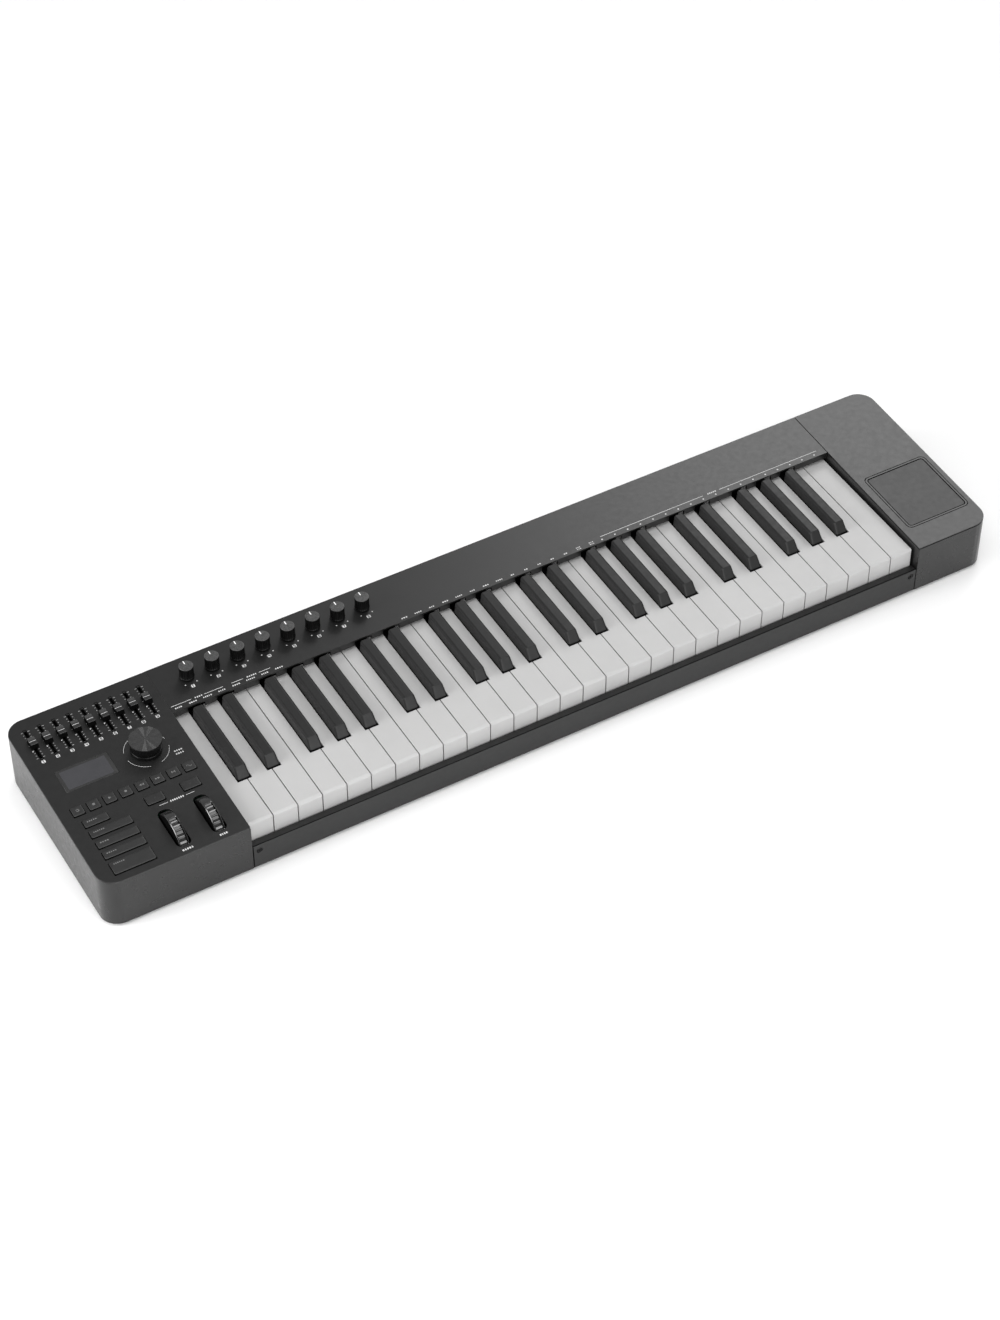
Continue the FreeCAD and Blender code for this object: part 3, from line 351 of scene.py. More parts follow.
def case_rule(a, b):
    if inner_corner(a, b):
        return INNER_ROUNDING
    if max(a.z, b.z) < CASE_BOTTOM + 0.1 * MM:
        return 0.6 * MM
    return (0.04 if max(a.x, b.x) < LEFT_END else 0.2) * MM


def on_rim(point):
    """Whether a place lies on the rounded outline of the case, which is centred on the origin."""
    beyond_x = max(abs(point.x) + PANEL_LOW.x + CORNER, 0)
    beyond_y = max(abs(point.y) - PANEL_HIGH.y + CORNER, 0)
    return math.hypot(beyond_x, beyond_y) > CORNER - 0.15 * MM


def panel_rule(a, b):
    if inner_corner(a, b):
        return INNER_ROUNDING
    on_top = all(abs(point.z - deck(point.y)) < 0.05 * MM for point in (a, b))
    if not on_top:
        return (0.04 if a.x < LEFT_END else 0.12) * MM
    along_bed = all(abs(point.x - BED_LEFT) < 0.6 * MM for point in (a, b))
    if along_bed:
        return 0.06 * MM
    if on_rim(a) and on_rim(b):
        return (0.8 if a.x < LEFT_END else 0.25) * MM
    return 0.2 * MM


def deck_rule(a, b):
    return (0.04 if max(a.x, b.x) < LEFT_END else 0.2) * MM


def close_left_seam(bm):
    """Brings the rim of the left block up to its panel, so that only a hairline is left."""
    for vert in bm.verts:
        if vert.co.x < LEFT_END and abs(vert.co.z - deck(vert.co.y) + CASE_RIM_DROP) < 0.1 * MM:
            vert.co.z += 0.22 * MM


def raise_right_seam(bm, drop, lift):
    """Brings the outer end of the right block's seam up to just below the deck."""
    for vert in bm.verts:
        near_front = vert.co.x > BED_RIGHT - 1 * MM and vert.co.y < 0
        on_seam = abs(deck(vert.co.y) - vert.co.z - drop) < 0.1 * MM
        if (near_front or vert.co.x > BED_RIGHT + 4.5 * MM) and on_seam and on_rim(vert.co):
            vert.co.z += lift


def make_case():
    lower = welded("lower_case")
    close_left_seam(lower)
    for step in (4 * MM, 5 * MM):
        cut(lower, (BED_RIGHT + step, 0, 0), (1, 0, 0))
    raise_right_seam(lower, CASE_RIM_DROP, 0.9 * MM)

    def in_right_seam(face):
        place = face.calc_center_median()
        return place.x > BED_RIGHT and face.normal.z > 0.3 and place.z > deck(place.y) - 3.2 * MM

    # The upward faces in the right block's seam are painted black as the shade inside the seam.
    paint(lower, 1, in_right_seam)
    rounded("case_lower", lower, case_rule, INNER_ROUNDING, CASE, "chassis",
            slot="case_plastic", replaces=["lower_case"], others=[PAINTED_SHADE])
    for side in ("left", "right"):
        cover = welded(f"{side}_top_panel")
        raise_right_seam(cover, COVER_RIM_DROP, 1.4 * MM)
        rounded(f"{side}_panel", cover, panel_rule, INNER_ROUNDING, PANEL, "chassis",
                slot="panel_metal", replaces=[f"{side}_top_panel"])
    rounded("deck_cover", welded("rear_deck"), deck_rule, 0.2 * MM, PANEL, "chassis",
            slot="panel_metal", replaces=["rear_deck"])
    make_rail()
    make_pad()


def make_rail():
    """The rail in front of the keys, with painted shade: black strips at its ends, where it meets the
    blocks, and a black line behind its front edge.
    """
    rail = welded("front_rail")
    low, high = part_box("front_rail")
    joint = 0.9 * MM
    groove = (low.y + 0.6 * MM, low.y + 1.5 * MM)
    for x in (low.x + joint, high.x - joint):
        cut(rail, (x, 0, 0), (1, 0, 0))
    for y in groove:
        cut(rail, (0, y, 0), (0, 1, 0))

    def in_painted_shade(face):
        place = face.calc_center_median()
        at_end = place.x < low.x + joint or place.x > high.x - joint
        in_groove = groove[0] < place.y < groove[1] and face.normal.z > 0.5
        return at_end or in_groove

    # These faces are painted black as the shade in the end seams and along the line behind the front edge.
    paint(rail, 1, in_painted_shade)
    rounded("rail", rail, lambda a, b: 0.5 * MM, 0.5 * MM, RAIL, "chassis",
            slot="rail_metal", replaces=["front_rail"], others=[PAINTED_SHADE])


# Rings of the touch plate from its edge inwards: inset and drop below the deck in millimetres.
PAD_STEPS = ((0.4, 1.4), (0.4, 0.06), (0.46, 0.0), (2.05, 0.0), (2.1, 0.06), (2.1, 1.0), (3.0, 1.0),
             (3.0, 0.33), (3.08, 0.25))
# The material between each two rings: 0 is the plate's own, 1 the groove, painted black as its shade, 2 the
# painted border.
PAD_PAINT = (1, 2, 2, 2, 1, 1, 1, 0)
PAD_CORNER = 5.0


def make_pad():
    """The touch plate: a painted border, a groove painted black as its shade, and the sensitive surface
    inside it.
    """
    low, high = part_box("touch_pad")
    bm = bmesh.new()
    rings = []
    for inset, drop in PAD_STEPS:
        outline = soft_rectangle(grown((low.x, high.x), -inset * MM), grown((low.y, high.y), -inset * MM),
                                 (PAD_CORNER - inset * 0.8) * MM)
        rings.append([(x, y, deck(y) - drop * MM) for x, y in outline])
    loft(bm, rings)
    for number, face in enumerate(bm.faces):
        end_cap = len(face.verts) > 4
        face.material_index = 0 if end_cap else PAD_PAINT[number // len(rings[0])]
    shade(bm)
    piece("pad", bm, PAD, "chassis", slot="pad_plastic", replaces=["touch_pad"], others=(PAINTED_SHADE, PANEL))


# ---------------------------------------------------------------- keys
KEY_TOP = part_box("keys_d")[1].z
KEY_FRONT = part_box("keys_d")[0].y
BLACK_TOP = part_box("keys_c_sharp")[1].z
# Up to this height a black key is painted black as the shade between it and the white keys.
BLACK_SHADE_TOP = KEY_TOP + 0.5 * MM
COVERED_FROM = KEY_FRONT + 160 * MM
WHITE_ROUNDING = 3.0 * MM
BLACK_ROUNDING = 2.2 * MM


def white_rule(a, b):
    at_front = max(a.y, b.y) < KEY_FRONT + 0.05 * MM
    at_top = min(a.z, b.z) > KEY_TOP - 0.05 * MM
    if min(a.y, b.y) > COVERED_FROM:
        return 0.0
    if at_front and at_top:
        return WHITE_ROUNDING
    return (0.2 if at_top or at_front else 0.1) * MM


def black_rule(a, b):
    if min(a.y, b.y) > COVERED_FROM:
        return 0.0
    if min(a.z, b.z) > BLACK_TOP - 0.05 * MM:
        along = abs(a.y - b.y) > 20 * MM
        return BLACK_ROUNDING if along else 0.4 * MM
    if max(a.z, b.z) > BLACK_SHADE_TOP - 0.1 * MM:
        return BLACK_ROUNDING
    return 0.2 * MM


def make_keys():
    """Every key as a piece of its own. A black key's foot, beside the white keys, is painted black as the
    shade that falls there.
    """
    for node in sorted(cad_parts):
        if not node.startswith("keys_"):
            continue
        black = node.endswith("_sharp")
        material, slot = (BLACK_KEY, "black_key") if black else (WHITE_KEY, "white_key")
        rule, widest = (black_rule, BLACK_ROUNDING) if black else (white_rule, WHITE_ROUNDING)
        letter = node[len("keys_"):]
        for number, solid in enumerate(islands(welded(node)), 1):
            if black:
                # Faces below this height are painted black as shade.
                cut(solid, (0, 0, BLACK_SHADE_TOP), (0, 0, 1))
                paint(solid, 1, lambda face: face.calc_center_bounds().z < BLACK_SHADE_TOP - 0.01 * MM)
            rounded(f"key_{letter}_{number}", solid, rule, widest, material, node, segments=4,
                    slot=slot, replaces=[node], others=[PAINTED_SHADE] if black else [])


# ---------------------------------------------------------------- printed marks
PRINT = 0.06 * MM
SINK = 0.03 * MM


def plate(bm, outline, height):
    """A thin flat plate with the given outline of (x, y), lying on the surface z = height(y)."""
    low = [Vector((x, y, height(y) - SINK)) for x, y in outline]
    high = [Vector((x, y, height(y) + PRINT)) for x, y in outline]
    loft(bm, [low, high])


def bar(bm, x, y, width, length, height, radius=None):
    """A plate centred on a place."""
    radius = min(width, length) * 0.3 if radius is None else radius
    outline = soft_rectangle((x - width / 2, x + width / 2), (y - length / 2, y + length / 2), radius, 2)
    plate(bm, outline, height)


def dot(bm, x, y, radius, height, count=12):
    plate(bm, [(x + px, y + py) for px, py in circle(radius, count)], height)


def band(bm, outer, inner, height):
    """A flat ring between two outlines of equal count."""
    base, top = [], []
    for outline in (outer, inner):
        base.append([bm.verts.new((x, y, height(y) - SINK)) for x, y in outline])
        top.append([bm.verts.new((x, y, height(y) + PRINT)) for x, y in outline])
    count = len(outer)
    for i in range(count):
        j = (i + 1) % count
        bm.faces.new([top[0][i], top[0][j], top[1][j], top[1][i]])
        bm.faces.new([base[0][j], base[0][i], base[1][i], base[1][j]])
        bm.faces.new([base[0][i], base[0][j], top[0][j], top[0][i]])
        bm.faces.new([base[1][j], base[1][i], top[1][i], top[1][j]])


def arc(bm, x, y, radius, width, start, end, height):
    """A thin line along part of a circle, with angles in degrees anticlockwise from +X."""
    steps = max(4, round(abs(end - start) / 5))
    angles = [math.radians(start + (end - start) * i / steps) for i in range(steps + 1)]
    outer, inner = [[(x + reach * math.cos(angle), y + reach * math.sin(angle)) for angle in angles]
                    for reach in (radius + width / 2, radius - width / 2)]
    plate(bm, outer + inner[::-1], height)


# Strokes of each figure on a grid two wide and four high, as on a counter's display.
FIGURES = {
    1: [((1, 0), (1, 4)), ((0.4, 3.3), (1, 4))],
    2: [((0, 4), (2, 4)), ((2, 4), (2, 2)), ((2, 2), (0, 2)), ((0, 2), (0, 0)), ((0, 0), (2, 0))],
    3: [((0, 4), (2, 4)), ((2, 4), (2, 0)), ((0.5, 2), (2, 2)), ((0, 0), (2, 0))],
    4: [((0, 4), (0, 2)), ((0, 2), (2, 2)), ((2, 4), (2, 0))],
    5: [((2, 4), (0, 4)), ((0, 4), (0, 2)), ((0, 2), (2, 2)), ((2, 2), (2, 0)), ((2, 0), (0, 0))],
    6: [((2, 4), (0, 4)), ((0, 4), (0, 0)), ((0, 0), (2, 0)), ((2, 0), (2, 2)), ((2, 2), (0, 2))],
    7: [((0, 4), (2, 4)), ((2, 4), (1, 0))],
    8: [((0, 4), (2, 4)), ((0, 2), (2, 2)), ((0, 0), (2, 0)), ((0, 0), (0, 4)), ((2, 0), (2, 4))],
    9: [((0, 2), (2, 2)), ((0, 4), (2, 4)), ((0, 2), (0, 4)), ((2, 0), (2, 4)), ((0, 0), (2, 0))],
}


def stroke(bm, start, end, width, height):
    """A straight line of the given width between two places."""
    along = (Vector(end) - Vector(start)).normalized() * width / 2
    side = Vector((-along.y, along.x))
    start, end = Vector(start) - along, Vector(end) + along
    plate(bm, [tuple(start - side), tuple(end - side), tuple(end + side), tuple(start + side)], height)


def figure(bm, number, x, y, tall, height):
    """A figure centred on a place."""
    unit = tall / 4
    for index, (start, end) in enumerate(FIGURES[number]):
        lift = index * 0.002 * MM
        points = [(x + (px - 1) * unit, y + (py - 2) * unit) for px, py in (start, end)]
        stroke(bm, *points, tall * 0.25, lambda place, lift=lift: height(place) + lift)


def words(bm, x, y, width, tall, height, seed):
    """A row of small blocks of uneven width, standing where a legend would be."""
    count = max(2, round(width / (1.9 * MM)))
    pitch = width / count
    for step in range(count):
        wide = pitch - (0.5 + 0.2 * ((seed * 7 + step * 5) % 3)) * MM
        bar(bm, x - width / 2 + (step + 0.5) * pitch, y, wide, tall, height)


# ---------------------------------------------------------------- buttons
FLANGE = 1.0 * MM
BUTTON_RISE = 1.2 * MM
CAP_CORNER = 1.2


def button_plan(node):
    """X and Y planes of a button's cap, without its hidden flange."""
    low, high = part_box(node)
    return (low.x + FLANGE, high.x - FLANGE), (low.y + FLANGE, high.y - FLANGE)


def make_button(node):
    """A rubber cap with soft edges and a shallow crown, on a flange and a stem. Its side walls are painted
    black as the shade round the raised cap.
    """
    x, y = button_plan(node)
    centre = middle(node)
    stem_low, flange_low, flange_high = levels(node)[:3]
    post = centred_rectangle(centre, 2 * MM, 2 * MM, 0.4 * MM)
    skirt = soft_rectangle(grown(x, FLANGE), grown(y, FLANGE), 1.6 * MM)
    rings = [[(px, py, stem_low) for px, py in post], [(px, py, flange_low) for px, py in post],
             [(px, py, flange_low) for px, py in skirt], [(px, py, flange_high) for px, py in skirt]]
    rings.append([(px, py, flange_high) for px, py in soft_rectangle(x, y, CAP_CORNER * MM)])
    for inset, drop in ((0.0, 0.55), (0.08, 0.28), (0.28, 0.09), (0.6, 0.0), (1.6, -0.03)):
        corner = max(0.3, CAP_CORNER - inset * 0.6) * MM
        outline = soft_rectangle(grown(x, -inset * MM), grown(y, -inset * MM), corner)
        rings.append([(px, py, deck(py) + BUTTON_RISE - drop * MM) for px, py in outline])
    bm = bmesh.new()
    loft(bm, rings)
    shade(bm)
    # Side walls painted black as shade.
    paint(bm, 1, lambda face: face.normal.z < 0.35)
    rubber = OCTAVE_BUTTON if node.startswith("octave") else BUTTON
    piece(f"{node}_cap", bm, rubber, node, slot="button_rubber", replaces=[node], others=[PAINTED_SHADE])


def button_top(y):
    return deck(y) + BUTTON_RISE + 0.03 * MM


def triangle(bm, x, y, size, direction, height):
    plate(bm, [(x - direction * size * 0.45, y - size / 2), (x + direction * size * 0.55, y),
               (x - direction * size * 0.45, y + size / 2)][::direction], height)


def loop_icon(bm, x, y, size):
    for start, end in ((20, 160), (200, 340)):
        arc(bm, x, y, size * 0.47, size * 0.22, start, end, button_top)
    triangle(bm, x + size * 0.44, y, size * 0.4, 1, button_top)


def stop_icon(bm, x, y, size):
    bar(bm, x, y, size * 0.85, size * 0.85, button_top, 0.1 * MM)


def play_icon(bm, x, y, size):
    triangle(bm, x, y, size, 1, button_top)


def record_icon(bm, x, y, size):
    dot(bm, x, y, size * 0.48, button_top, 20)


def wind_icon(direction):
    def draw(bm, x, y, size):
        for shift in (-0.45, 0.45):
            triangle(bm, x + shift * size, y, size * 0.85, direction, button_top)
    return draw


def steps_icon(bm, x, y, size):
    for shift in (-0.5, 0.0, 0.5):
        bar(bm, x + shift * size, y, size * 0.28, size * (0.5 + abs(shift)), button_top)


def wave_icon(bm, x, y, size):
    for shift, start in ((-0.4, 0), (0.4, 180)):
        arc(bm, x + shift * size, y, size * 0.4, size * 0.16, start, start + 180, button_top)


TRANSPORT_ICONS = [loop_icon, stop_icon, play_icon, record_icon, wind_icon(-1), wind_icon(1), steps_icon,
                   wave_icon]


def make_buttons():
    for number, icon in enumerate(TRANSPORT_ICONS, 1):
        node = f"transport_button_{number}"
        make_button(node)
        place = middle(node)
        bm = bmesh.new()
        icon(bm, place.x, place.y, 2.6 * MM)
        piece(f"transport_icon_{number}", bm, GREY_PRINT, node)
    for name, direction in (("octave_down", -1), ("octave_up", 1)):
        node = f"{name}_button"
        make_button(node)
        place = middle(node)
        bm = bmesh.new()
        triangle(bm, place.x, place.y, 1.8 * MM, direction, button_top)
        piece(f"{name}_icon", bm, DARK_PRINT, node)
    for number in range(1, 6):
        node = f"function_button_{number}"
        make_button(node)
        x, y = button_plan(node)
        bm = bmesh.new()
        width = (8.5 + number % 3) * MM
        words(bm, x[0] + 3 * MM + width / 2, y[1] - 3.2 * MM, width, 1.3 * MM, button_top, number)
        piece(f"function_mark_{number}", bm, GREY_PRINT, node)


# ---------------------------------------------------------------- sliders
def make_fader(number):
    """A cap with a hollow top for the fingertip, and its blade. Every face but the upward ones is painted
    black as shade.
    """
    node = f"fader_cap_{number}"
    low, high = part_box(node)
    centre = middle(node)
    blade_low, grip_low = levels(node)[:2]
    half_x, half_y = (high.x - low.x) / 2, (high.y - low.y) / 2
    dip, shoulder = 0.9 * MM, high.z - 0.5 * MM
    hollow = []
    for step in range(13):
        share = -1 + step / 6
        hollow.append((centre.y - share * (half_y - 1.2 * MM), high.z - dip * (1 - share ** 2)))
    profile = [(low.y + 0.1 * MM, grip_low), (high.y - 0.1 * MM, grip_low), (high.y - 0.7 * MM, shoulder),
               *hollow, (low.y + 0.7 * MM, shoulder)]
    rings = []
    for side in (-1, 1):
        ring = []
        for y, z in profile:
            lean = 0.35 * MM * (z - grip_low) / (high.z - grip_low)
            ring.append((centre.x + side * (half_x - lean), y, z))
        rings.append(ring)
    bm = bmesh.new()
    loft(bm, rings)
    blade = centred_rectangle(centre, 0.6 * MM, 2 * MM, 0.2 * MM)
    loft(bm, [[(x, y, z) for x, y in blade] for z in (blade_low, grip_low + 1 * MM)])
    bmesh.ops.recalc_face_normals(bm, faces=bm.faces)
    # Every face that does not face up is painted black as shade.
    paint(bm, 1, lambda face: face.normal.z < 0.4)
    rounded(f"{node}_grip", bm, lambda a, b: 0.2 * MM if min(a.z, b.z) > grip_low - 0.1 * MM else 0.0,
            0.2 * MM, CAP, node, slot="cap_plastic", replaces=[node], others=[PAINTED_SHADE])
    line = bmesh.new()
    outline = centred_rectangle(centre, half_x - 0.55 * MM, 0.22 * MM, 0.1 * MM)
    plate(line, outline, lambda y: high.z - dip + 0.02 * MM)
    piece(f"fader_line_{number}", line, WHITE_PRINT, node)


# ---------------------------------------------------------------- knobs and encoder
def turned(bm, centre, sections, count=96):
    """A turned shape through sections of (radius, height), or (radius, height, ribs, groove depth)."""
    rings = []
    for radius, height, *grooves in sections:
        rings.append([(centre.x + x, centre.y + y, height) for x, y in circle(radius, count, *grooves)])
    loft(bm, rings)


SHAFT = 3 * MM
KNOB_RIBS = 24


def make_knob(number):
    """A ribbed knob with a plain cap and a pointer."""
    node = f"knob_{number}"
    low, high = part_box(node)
    centre = middle(node)
    radius, skirt, top = (high.x - low.x) / 2, levels(node)[1], high.z
    bm = bmesh.new()
    turned(bm, centre, [(SHAFT, low.z), (SHAFT, skirt), (radius - 0.3 * MM, skirt),
                        (radius, skirt + 0.3 * MM), (radius, skirt + 1.2 * MM),
                        (radius - 0.35 * MM, skirt + 1.5 * MM, KNOB_RIBS, 0.1 * MM),
                        (radius - 0.35 * MM, skirt + 2.0 * MM, KNOB_RIBS, 0.5 * MM),
                        (radius - 0.35 * MM, top - 1.2 * MM, KNOB_RIBS, 0.5 * MM),
                        (radius - 0.4 * MM, top - 0.8 * MM, KNOB_RIBS, 0.15 * MM),
                        (radius - 0.45 * MM, top - 0.55 * MM)])
    shade(bm)
    piece(f"{node}_body", bm, KNOB, node, slot="knob_plastic", replaces=[node])
    cap = bmesh.new()
    turned(cap, centre, [(radius - 0.45 * MM, top - 0.6 * MM), (radius - 0.45 * MM, top - 0.25 * MM),
                         (radius - 0.6 * MM, top - 0.08 * MM), (radius - 0.9 * MM, top - 0.03 * MM),
                         (radius - 2.0 * MM, top - 0.05 * MM)], 64)
    shade(cap)
    piece(f"{node}_top", cap, KNOB_TOP, node, slot="knob_plastic")
    pointer = bmesh.new()
    bar(pointer, centre.x, centre.y + radius - 2.8 * MM, 0.9 * MM, 4.0 * MM, lambda y: top - 0.06 * MM)
    piece(f"{node}_pointer", pointer, BRIGHT_PRINT, node)


def make_encoder():
    """A large knob: a plain skirt, a faceted side that widens upward and a top folded into a fan."""
    node = "encoder_knob"
    low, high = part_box(node)
    centre = middle(node)
    radius, facets = (high.x - low.x) / 2, 20
    foot, skirt, top = radius - 1.0 * MM, levels(node)[1], high.z
    bm = bmesh.new()
    turned(bm, centre, [(SHAFT, low.z), (SHAFT, skirt), (foot - 0.5 * MM, skirt),
                        (foot - 0.1 * MM, skirt + 0.4 * MM), (foot - 0.1 * MM, skirt + 2.2 * MM),
                        (foot - 0.5 * MM, skirt + 2.7 * MM), (foot - 1.6 * MM, skirt + 3.0 * MM),
                        (foot - 1.6 * MM, skirt + 3.4 * MM)])
    shade(bm)
    piece("encoder_skirt", bm, KNOB, node, slot="knob_plastic", replaces=[node])
    side = bmesh.new()
    turned(side, centre, [(foot - 1.7 * MM, skirt + 3.2 * MM), (foot - 0.9 * MM, skirt + 3.6 * MM),
                          (foot + 0.4 * MM, top - 1.9 * MM), (radius - 0.05 * MM, top - 1.4 * MM),
                          (radius - 0.3 * MM, top - 0.75 * MM)], facets)
    shade(side)
    piece("encoder_side", side, KNOB, node, slot="knob_plastic")
    fan = bmesh.new()
    rim = circle(radius - 0.3 * MM, facets)
    heights = [top - (0.12 if i % 2 else 0.78) * MM for i in range(facets)]
    bottom = [fan.verts.new((centre.x + x, centre.y + y, top - 0.9 * MM)) for x, y in rim]
    upper = [fan.verts.new((centre.x + x, centre.y + y, z)) for (x, y), z in zip(rim, heights)]
    peak = fan.verts.new((centre.x, centre.y, top - 0.3 * MM))
    fan.faces.new(bottom[::-1])
    for i in range(facets):
        j = (i + 1) % facets
        fan.faces.new([bottom[i], bottom[j], upper[j], upper[i]])
        fan.faces.new([upper[i], upper[j], peak])
    piece("encoder_fan", fan, SPUN, node, slot="knob_plastic")


# ---------------------------------------------------------------- wheels
WHEEL_STEPS = 240
CHANNEL_START, CHANNEL_END = math.radians(-8), math.radians(58)
CHANNEL_EDGE = math.radians(4)
RIBS_PER_TURN = 33


def wheel_dip(angle):
    """Depth of the finger channel at an angle from the top of the wheel, towards the player."""
    if not CHANNEL_START < angle < CHANNEL_END:
        return 0.0
    edge = min(1.0, (angle - CHANNEL_START) / CHANNEL_EDGE, (CHANNEL_END - angle) / CHANNEL_EDGE)
    rib = max(0.0, math.cos((angle - CHANNEL_START) * RIBS_PER_TURN)) ** 2
    return (1.9 - 1.3 * rib) * edge * MM


def make_wheel(name):
    """A rubber wheel with a ribbed finger channel between two raised rims. Its flat sides are painted black
    as the shade in its well.
    """
    low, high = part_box(name)
    centre = middle(name)
    radius, half, bore = (high.z - low.z) / 2, (high.x - low.x) / 2, 2.1 * MM
    rings = []
    for step in range(WHEEL_STEPS):
        angle = TAU * step / WHEEL_STEPS
        signed = angle if angle < math.pi else angle - TAU
        dip = wheel_dip(signed)
        section = [(half, bore), (half, radius - 1.8 * MM), (half - 0.3 * MM, radius - 1.0 * MM),
                   (half - 0.9 * MM, radius - 0.35 * MM), (half - 1.3 * MM, radius - 0.2 * MM),
                   (half - 1.8 * MM, radius - 0.14 * MM - dip), (half - 3.2 * MM, radius - dip)]
        ring = [(x, r) for x, r in section] + [(-x, r) for x, r in reversed(section)]
        rings.append([(centre.x + x, centre.y - r * math.sin(angle), centre.z + r * math.cos(angle))
                      for x, r in ring])
    bm = bmesh.new()
    loft(bm, rings, closed=True)
    bmesh.ops.recalc_face_normals(bm, faces=bm.faces)
    shade(bm)
    # Flat sides painted black as shade.
    paint(bm, 1, lambda face: abs(face.normal.x) > 0.75)
    piece(f"{name}_rubber", bm, WHEEL, name, slot="wheel_rubber", replaces=[name], others=[PAINTED_SHADE])


# ---------------------------------------------------------------- window
def make_window():
    """A glossy window, with the screen's lit area let into its face."""
    low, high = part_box("display_window")
    x, y = (low.x, high.x), (low.y, high.y)
    rings = []
    for inset, drop in ((0.0, 1.2), (0.0, 0.15), (0.12, 0.03), (0.3, 0.0)):
        outline = soft_rectangle(grown(x, -inset * MM), grown(y, -inset * MM), (1.0 - inset) * MM)
        rings.append([(px, py, deck(py) - drop * MM) for px, py in outline])
    bm = bmesh.new()
    loft(bm, rings)
    shade(bm)
    piece("window_pane", bm, GLASS, "chassis", slot="display_glass", replaces=["display_window"])
    screen = bmesh.new()
    across, along = (low.x + 3 * MM, high.x - 3.3 * MM), (low.y + 2 * MM, high.y - 2.4 * MM)
    plate(screen, soft_rectangle(across, along, 0.5 * MM), deck)
    piece("window_screen_area", screen, SCREEN, "chassis", slot="display_glass")


# ---------------------------------------------------------------- legends
def number_mark(bm, figures, number, x, y, height):
    """A white square with rounded corners and a dark figure."""
    bar(bm, x, y, 3.5 * MM, 3.5 * MM, height, 0.9 * MM)
    figure(figures, number, x, y, 2.4 * MM, lambda place: height(place) + PRINT)


def upper(y):
    """Height of the cover behind the keys."""
    return deck(y) - REAR_DECK_DROP


SLOT_HALF = 17.6 * MM


def slider_legends(bm, figures, scales, slot_shade_bands):
    """Beside each slot: its number, a scale of eleven lines on each side, a dot and a black band round the
    slot, painted as the shade at its edge.
    """
    for number in range(1, 10):
        place = middle(f"fader_cap_{number}")
        number_mark(bm, figures, number, place.x, place.y - SLOT_HALF - 4.4 * MM, deck)
        for step in range(11):
            y = place.y + (step - 5) * SLOT_HALF / 5.3
            for side in (-1, 1):
                wide = (1.9 if step in (0, 5, 10) else 1.2) * MM
                bar(scales, place.x + side * (2.1 * MM + wide / 2), y, wide, 0.6 * MM, deck)
        dot(bm, place.x - 3.3 * MM, place.y - 7.2 * MM, 0.62 * MM, deck)
        # A black band round the slot: painted shade.
        rim_inside, rim_outside = [centred_rectangle(place, size, SLOT_HALF + size, 0.3 * MM)
                                   for size in (1.2 * MM, 1.7 * MM)]
        band(slot_shade_bands, rim_outside, rim_inside, deck)


def control_legends(bm, figures):
    """Marks of the knobs, the encoder, the wheels and the octave buttons."""
    reach, angle = 10.3 * MM, math.radians(33)
    for number in range(1, 9):
        place = middle(f"knob_{number}")
        number_mark(bm, figures, number, place.x, place.y - 12.5 * MM, upper)
        for side in (-1, 1):
            x, y = place.x + side * reach * math.sin(angle), place.y - reach * math.cos(angle)
            dot(bm, x, y, 0.62 * MM, upper)
    encoder = middle("encoder_knob")
    for start, end in ((115, 163), (191, 256), (287, 347), (12, 24)):
        arc(bm, encoder.x, encoder.y, 19.6 * MM, 0.32 * MM, start, end, deck)
    for row in range(2):
        words(bm, encoder.x + 23.5 * MM, encoder.y - (13.5 + 3.6 * row) * MM, 8 * MM, 1.5 * MM, deck, row)
    for wheel, width in (("pitch_wheel", 10.4), ("mod_wheel", 7.6)):
        place = middle(wheel)
        words(bm, place.x, place.y - 26.2 * MM, width * MM, 2.0 * MM, deck, 3)
    octave = [middle(f"octave_{name}_button") for name in ("down", "up")]
    centre_x, y = (octave[0].x + octave[1].x) / 2 - 0.3 * MM, octave[0].y - 8.9 * MM
    words(bm, centre_x, y, 13.4 * MM, 1.9 * MM, deck, 5)
    for side in (-1, 1):
        bar(bm, centre_x + side * 12.4 * MM, y, 8.0 * MM, 0.45 * MM, deck)


def strip_legends(bm):
    """The row of marks above the keys: one place for each key, under lines that bracket a section."""
    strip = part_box("rear_deck")[0].y
    pitch = (BED_RIGHT - BED_LEFT) / 49
    for index in range(49):
        x = BED_LEFT + (index + 0.5) * pitch
        if index < 8:
            words(bm, x, strip + 3.3 * MM, (7 + index % 3) * MM, 1.5 * MM, upper, index)
        elif 16 <= index < 24:
            words(bm, x, strip + 3.3 * MM, (5.5 + index % 3) * MM, 1.4 * MM, upper, index)
        elif 24 <= index < 29:
            words(bm, x, strip + 3.3 * MM, 4 * MM, 1.4 * MM, upper, index)
        elif index in (29, 30):
            for row in (2.4, 4.6):
                words(bm, x, strip + row * MM, 5 * MM, 1.1 * MM, upper, index)
        elif index >= 31:
            dot(bm, x - 0.45 * pitch * (index - 16) / 32, strip + 3.0 * MM, 0.8 * MM, upper)
    y = strip + 6.8 * MM
    for start, end in ((0.1, 1.5), (2.4, 3.7), (4.3, 5.1), (6.2, 7.0), (31.3, 39.3), (40.6, 48.4)):
        bar(bm, BED_LEFT + (start + end) / 2 * pitch, y, (end - start) * pitch, 0.5 * MM, upper)
    for place, width in ((2.0, 8), (5.7, 10), (40.0, 10)):
        words(bm, BED_LEFT + place * pitch, y, width * MM, 1.5 * MM, upper, round(place))


